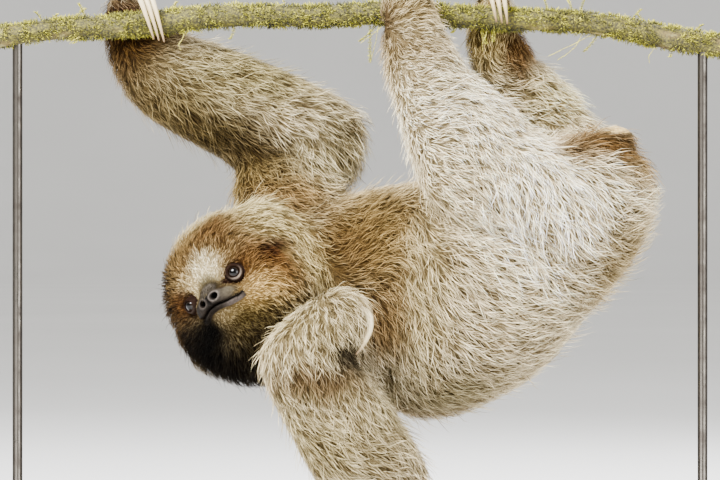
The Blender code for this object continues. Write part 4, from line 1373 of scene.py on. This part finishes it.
def unwrapped(parts):
    """The skin of some parts laid out flat: a place on the sheet for each loop of the skin."""
    wanted = set(polygon_of[owned(face_owner, parts)].tolist())
    bm = bmesh.new()
    bm.from_mesh(skin_mesh)
    bm.faces.ensure_lookup_table()
    bm.loops.layers.uv.new("flat")
    source = bm.faces.layers.int.new("source")
    for face in bm.faces:
        face[source] = face.index
    bmesh.ops.delete(bm, geom=[f for f in bm.faces if f.index not in wanted], context="FACES")
    mesh = finished(bm, "flat")
    sheet_form = placed("flat", mesh)
    for other in bpy.context.selected_objects:
        other.select_set(False)
    bpy.context.view_layer.objects.active = sheet_form
    sheet_form.select_set(True)
    bpy.ops.object.mode_set(mode="EDIT")
    bpy.ops.mesh.select_all(action="SELECT")
    bpy.ops.uv.smart_project(angle_limit=math.radians(70), island_margin=0.004)
    bpy.ops.object.mode_set(mode="OBJECT")
    flat = read_all(mesh.uv_layers["flat"].data, "uv", 2, np.float32)
    originals = read_all(mesh.attributes["source"].data, "value", 1, np.int32)
    sheet = np.zeros((len(skin_mesh.loops), 2))
    for polygon, original in zip(mesh.polygons, originals):
        here, size = polygon.loop_start, polygon.loop_total
        there = skin_mesh.polygons[int(original)].loop_start
        sheet[there:there + size] = flat[here:here + size]
    bpy.data.objects.remove(sheet_form)
    return sheet


def triangle_mesh(name, points, faces):
    """A smooth mesh from arrays of points, in millimetres, and of triangles."""
    mesh = bpy.data.meshes.new(name)
    mesh.vertices.add(len(points))
    mesh.vertices.foreach_set("co", (points * MM).astype(np.float32).ravel())
    mesh.loops.add(len(faces) * 3)
    mesh.loops.foreach_set("vertex_index", faces.astype(np.int32).ravel())
    mesh.polygons.add(len(faces))
    mesh.polygons.foreach_set("loop_start", np.arange(0, len(faces) * 3, 3, dtype=np.int32))
    mesh.update(calc_edges=True)
    mesh.shade_smooth()
    return mesh


def repeated(face, size, spread):
    """The faces of many like forms from those of one, which has a number of points."""
    return (face[None] + (np.arange(size) * spread)[:, None, None]).reshape(-1, 3)


def coat_piece(name, parts):
    """One mesh of all the locks that are rooted on some parts of the body."""
    here = owned(face_owner[chosen], parts)
    sheet = unwrapped(parts)
    points, faces, places, strand, marks, start = [], [], [], [], [], 0
    for form, of_form in (("long", ~short), ("short", short)):
        mine = np.flatnonzero(here & of_form)
        along = [share for share in LOCK_FORMS[form][0] for _ in range(3)] + [1.0]
        size, spread = len(mine), len(along)
        one = lock_faces(len(LOCK_FORMS[form][0]))
        points.append(lock_points(form, mine).reshape(-1, 3))
        faces.append(start + repeated(one, size, spread))
        spots = (sheet[loops_of[chosen[mine]]] * shares[mine][:, :, None]).sum(axis=1)
        spots = BAKE_MARGIN + spots * (1 - 2 * BAKE_MARGIN)
        across = [(-0.5, 0.0, 0.5)[i % 3] for i in range(spread - 1)] + [0.0]
        patch = np.stack([across, np.array(along) - 0.5], axis=1) * LOCK_PATCH
        patches = spots[:, None] + patch[None]
        places.append(patches[np.arange(size)[:, None, None], one[None]].reshape(-1, 2))
        strand.append(np.stack([np.tile(along, size), np.repeat(lot[mine], spread)], axis=1))
        marks.append(np.repeat(lock_marks[mine], spread, axis=0))
        start += size * spread
    mesh = triangle_mesh(name, np.concatenate(points), np.concatenate(faces))
    layer = mesh.uv_layers.new(name="OFBake")
    layer.data.foreach_set("uv", np.concatenate(places).astype(np.float32).ravel())
    add_attribute(mesh, "marking_and_shade", np.concatenate(marks))
    add_attribute(mesh, "strand", np.concatenate(strand))
    new_object(name, mesh, coat_hair, "coat_pale")


for name, parts in COAT_PIECES.items():
    coat_piece(name, parts)

# ==== perch: moss ==========================================================================
# Dried and dyed moss is glued over most of the bark in small cushions, thickest in the middle.
# A few sprigs stand up or hang from it, and thin pale rootlets trail below.
CUSHIONS, BLADES_IN_CUSHION = 1050, 13
CUSHION_SPREAD, CUSHION_ROLL = 2.0, 0.2  # along the branch, and round it
BLADE_LENGTHS, BLADE_WIDTHS, BLADE_LEAN, BLADE_BOW = (2.0, 4.2), (0.45, 0.85), 0.45, 0.35
SPRIG_STEP, LEAVES, LEAF_LENGTHS, LEAF_WIDTH, STEM_WIDTH = 1.3, 4, (1.4, 2.6), 0.7, 0.6
ROOTLET_WIDTH, ROOTLET_WAVER, ROOTLET_STEPS = 0.55, 0.25, 5
MOSS_CLEARANCE = 4.5  # kept from the skin and from the claws
MOSS_SINK = 0.6  # how far a blade starts inside the bark
SPRIGS = (  # where each starts along the branch and round it, in degrees, and where it ends
    (-220, 80, (-225, -6, 479)), (-228, 100, (-219, 2, 475)), (-254, 80, (-260, -6, 472)),
    (-245, 95, (-241, -8, 470)), (-150, 85, (-146, -6, 480)), (-60, 90, (-64, -4, 491)),
    (176, 85, (181, -7, 486)), (170, 100, (166, 0, 482)), (150, 85, (146, -5, 486)),
    (218, 85, (225, -5, 474)), (226, 90, (221, -3, 470)), (268, 85, (275, -4, 462)),
    (76, -100, (73, -12, 455)), (97, -95, (101, -12, 446)), (107, -90, (106, -9, 448)),
    (8, -100, (8, -14, 431)), (14, -95, (-1, -13, 448)), (-100, -90, (-104, -8, 450)),
    (190, -90, (178, -8, 440)), (-226, -95, (-229, -9, 447)), (250, -90, (247, -6, 436)),
)
ROOTLETS = (  # where each starts along the branch, and three more points of its path
    (186, (174, -12, 448), (162, -13, 442), (149, -12, 436)),
    (178, (172, -11, 444), (165, -12, 438), (157, -11, 433)),
    (19, (15, -13, 458), (8, -14, 452), (0, -13, 447)),
    (15, (14, -13, 455), (11, -14, 442), (8, -14, 431)),
    (-222, (-224, -10, 452), (-229, -11, 449), (-232, -10, 446)),
    (101, (100, -12, 452), (97, -13, 446), (98, -12, 440)),
    (-140, (-141, -10, 451), (-145, -11, 446), (-143, -10, 441)),
    (236, (234, -9, 442), (230, -10, 437), (231, -9, 431)),
)
claw_tree = KDTree(len(CLAWS) * 3 * CLAW_RINGS)
for foot in CLAWS:
    for _, bends in claws_of(foot):
        for spot in interpolate_bezier(*bends, CLAW_RINGS):
            claw_tree.insert(spot, 0)
claw_tree.balance()


def on_bark(x, turn):
    """A point on the branch, and the way out of it there."""
    outward = Vector((0, math.cos(turn), math.sin(turn)))
    return branch_centre(x) + outward * (branch_radius(x) - MOSS_SINK), outward


def is_clear(spot):
    """Whether a tuft of moss here would keep off the feet and the claws."""
    off_skin = skin_tree.find_nearest(spot, MOSS_CLEARANCE)[0] is None
    return off_skin and claw_tree.find(spot)[2] > MOSS_CLEARANCE + CLAW_ROOT_RADIUS


blades = []  # of each blade of moss: start, end, bow, thickness and tone


def blade(start, end, bow, thick, tone):
    blades.append((tuple(start), tuple(end), tuple(bow), thick, tone))


made = 0
while made < CUSHIONS:
    x = rng.uniform(-BRANCH_HALF_LENGTH + 4, BRANCH_HALF_LENGTH - 4)
    turn = rng.uniform(0, math.tau)
    cover = moss_cover(x, turn)
    middle, outward = on_bark(x, turn)
    if rng.random() > cover or not is_clear(middle + outward * 3):
        continue
    made += 1
    cushion_tone = rng.random()
    for _ in range(BLADES_IN_CUSHION):
        slide, roll = rng.normal(0, CUSHION_SPREAD), rng.normal(0, CUSHION_ROLL)
        start, outward = on_bark(x + slide, turn + roll)
        lean = Vector((slide / 2.6, 0, 0)) + Vector(rng.normal(0, BLADE_LEAN, 3))
        way = (outward + (lean + Vector((0, 0, 0.1)))).normalized()
        end = start + way * (rng.uniform(*BLADE_LENGTHS) * (0.7 + 0.5 * cover))
        bow, width = Vector(rng.normal(0, BLADE_BOW, 3)), rng.uniform(*BLADE_WIDTHS)
        blade(start, end, bow, width, 0.5 * cushion_tone + 0.5 * rng.random())
for x, turn, end in SPRIGS:
    start, outward = on_bark(x, math.radians(turn))
    stem = Vector(end) - start
    steps = max(4, int(stem.length / SPRIG_STEP))
    for step in range(steps):
        here = start + stem * (step / steps) + outward * 1.2 * math.sin(math.pi * step / steps)
        on = start + stem * min(1.0, (step + 1.6) / steps)
        blade(here, on, (0, 0, 0), STEM_WIDTH, 0.35)
        for leaf in range(LEAVES):
            turn = leaf * 1.7 + step * 2.1
            side = Vector((math.cos(turn), math.sin(turn), 0.35)) + stem.normalized() * 0.7
            tip = here + side.normalized() * rng.uniform(*LEAF_LENGTHS)
            blade(here, tip, (0, 0, -0.15), LEAF_WIDTH, 0.45 + 0.55 * rng.random())
for x, *path in ROOTLETS:
    knots = [on_bark(x, -math.pi / 2)[0]] + [Vector(p) for p in path]
    steps = [part / ROOTLET_STEPS for part in range(ROOTLET_STEPS)]
    line = [a.lerp(b, step) for a, b in zip(knots, knots[1:]) for step in steps] + [knots[-1]]
    line = [spot + Vector(rng.normal(0, ROOTLET_WAVER, 3)) for spot in line]
    for here, on in zip(line, line[2:]):
        blade(here, on, (0, 0, 0), ROOTLET_WIDTH, 0.95)

starts, ends, bows, thick, tones = (np.array(table) for table in zip(*blades))
way = unit(ends - starts)
side = unit(np.cross(way, (0.35, 0.2, 0.91)))
over = np.cross(side, way)
points = np.empty((len(blades), 7, 3))
for ring, (centre, share) in enumerate(((starts, 0.7), ((starts + ends) / 2 + bows, 1.0))):
    for corner in range(3):
        turn = math.tau * corner / 3
        round_it = side * math.cos(turn) + over * math.sin(turn)
        points[:, 3 * ring + corner] = centre + round_it * (thick * share / 2)[:, None]
points[:, 6] = ends
tufts = triangle_mesh("moss", points.reshape(-1, 3), repeated(lock_faces(2), len(blades), 7))
along = np.tile([0, 0, 0, 0.5, 0.5, 0.5, 1.0], len(blades))
add_attribute(tufts, "strand", np.stack([along, np.repeat(tones, 7)], axis=1))

moss, tree, shader = new_material("glued_moss", Roughness=0.85)
split = put(tree, "SeparateColor", Color=stored(tree, "strand"))
leaf_tone = ramp(
    tree, split.outputs["Green"], (0.0, rgb(24, 22, 2)), (0.3, rgb(60, 58, 4)),
    (0.6, rgb(120, 116, 10)), (0.85, rgb(186, 180, 36)), (1.0, rgb(200, 186, 84)),
)
# each blade darker at its foot, which is painted shade deep in the cushion, and paler at its tip
cushion_shade_tone = ramp(
    tree, split.outputs["Red"], (0.0, grey(0.16)), (0.5, grey(0.75)), (1.0, grey(1.35))
)
feed(mixed(tree, 1.0, leaf_tone, cushion_shade_tone, "MULTIPLY"), shader)
new_object("moss", tufts, moss, "bark")

# ==== studio ===============================================================================
# A pale floor that rises all round into a far wall, three soft lamps, and the camera.
# All of its sizes are in metres.
FLOOR_RADIUS, WALL_RADIUS, WALL_HEIGHT = 25.0, 40.0, 25.0
FLOOR_SIDES, FLOOR_RINGS = 96, 24
AIR_COLOUR, AIR_LIGHT = (1.0, 0.985, 0.94, 1), 1.4
LAMP_TARGET = Vector((0, 0, 0.3))
LAMPS = (  # name, place, side and power
    ("key_lamp", (-1.3, -1.7, 2.1), 1.1, 590),
    ("fill_lamp", (1.9, -1.9, 1.0), 1.6, 110),
    ("back_lamp", (0.9, 1.5, 1.8), 1.2, 125),
)
CAMERA_PLACE, CAMERA_LENS, CAMERA_SENSOR = (0, -3.2, 0.290), 200, 36

studio_grey, tree, shader = new_material("studio_floor", Roughness=0.9)
cloud = cloudy(tree, own_place(tree), 0.6, 2)
feed(ramp(tree, cloud, (0.3, grey(0.66)), (0.7, grey(0.70))), shader)
bm = bmesh.new()
loops = []
for step in range(FLOOR_RINGS + 1):
    rise = step / FLOOR_RINGS
    radius = FLOOR_RADIUS + (WALL_RADIUS - FLOOR_RADIUS) * math.sin(rise * math.pi / 2)
    height = WALL_HEIGHT * (1 - math.cos(rise * math.pi / 2))
    loops.append(round_loop(bm, (0, 0, 0), radius, height, FLOOR_SIDES))
for below, above in zip(loops, loops[1:]):
    for a, b, c, d in around(below, above):
        bm.faces.new((b, a, d, c))
bm.faces.new(loops[0])
mesh = finished(bm, "studio_floor")
mesh.materials.append(studio_grey)
floor = placed("studio_floor", mesh)
floor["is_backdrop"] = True

world = bpy.data.worlds.new("studio_air")
world.use_nodes = True
background = world.node_tree.nodes["Background"]
background.inputs["Color"].default_value = AIR_COLOUR
background.inputs["Strength"].default_value = AIR_LIGHT
bpy.context.scene.world = world

for name, where, size, power in LAMPS:
    data = bpy.data.lights.new(name, "AREA")
    data.shape = "SQUARE"
    data.size = size
    data.energy = power
    lamp = placed(name, data)
    lamp.location = where
    lamp.rotation_euler = (LAMP_TARGET - Vector(where)).to_track_quat("-Z", "Y").to_euler()

lens = bpy.data.cameras.new("camera")
lens.lens = CAMERA_LENS
lens.sensor_width = CAMERA_SENSOR
camera = placed("camera", lens)
camera.location = CAMERA_PLACE
camera.rotation_euler = (math.pi / 2, 0, 0)
bpy.context.scene.camera = camera

low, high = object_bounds()
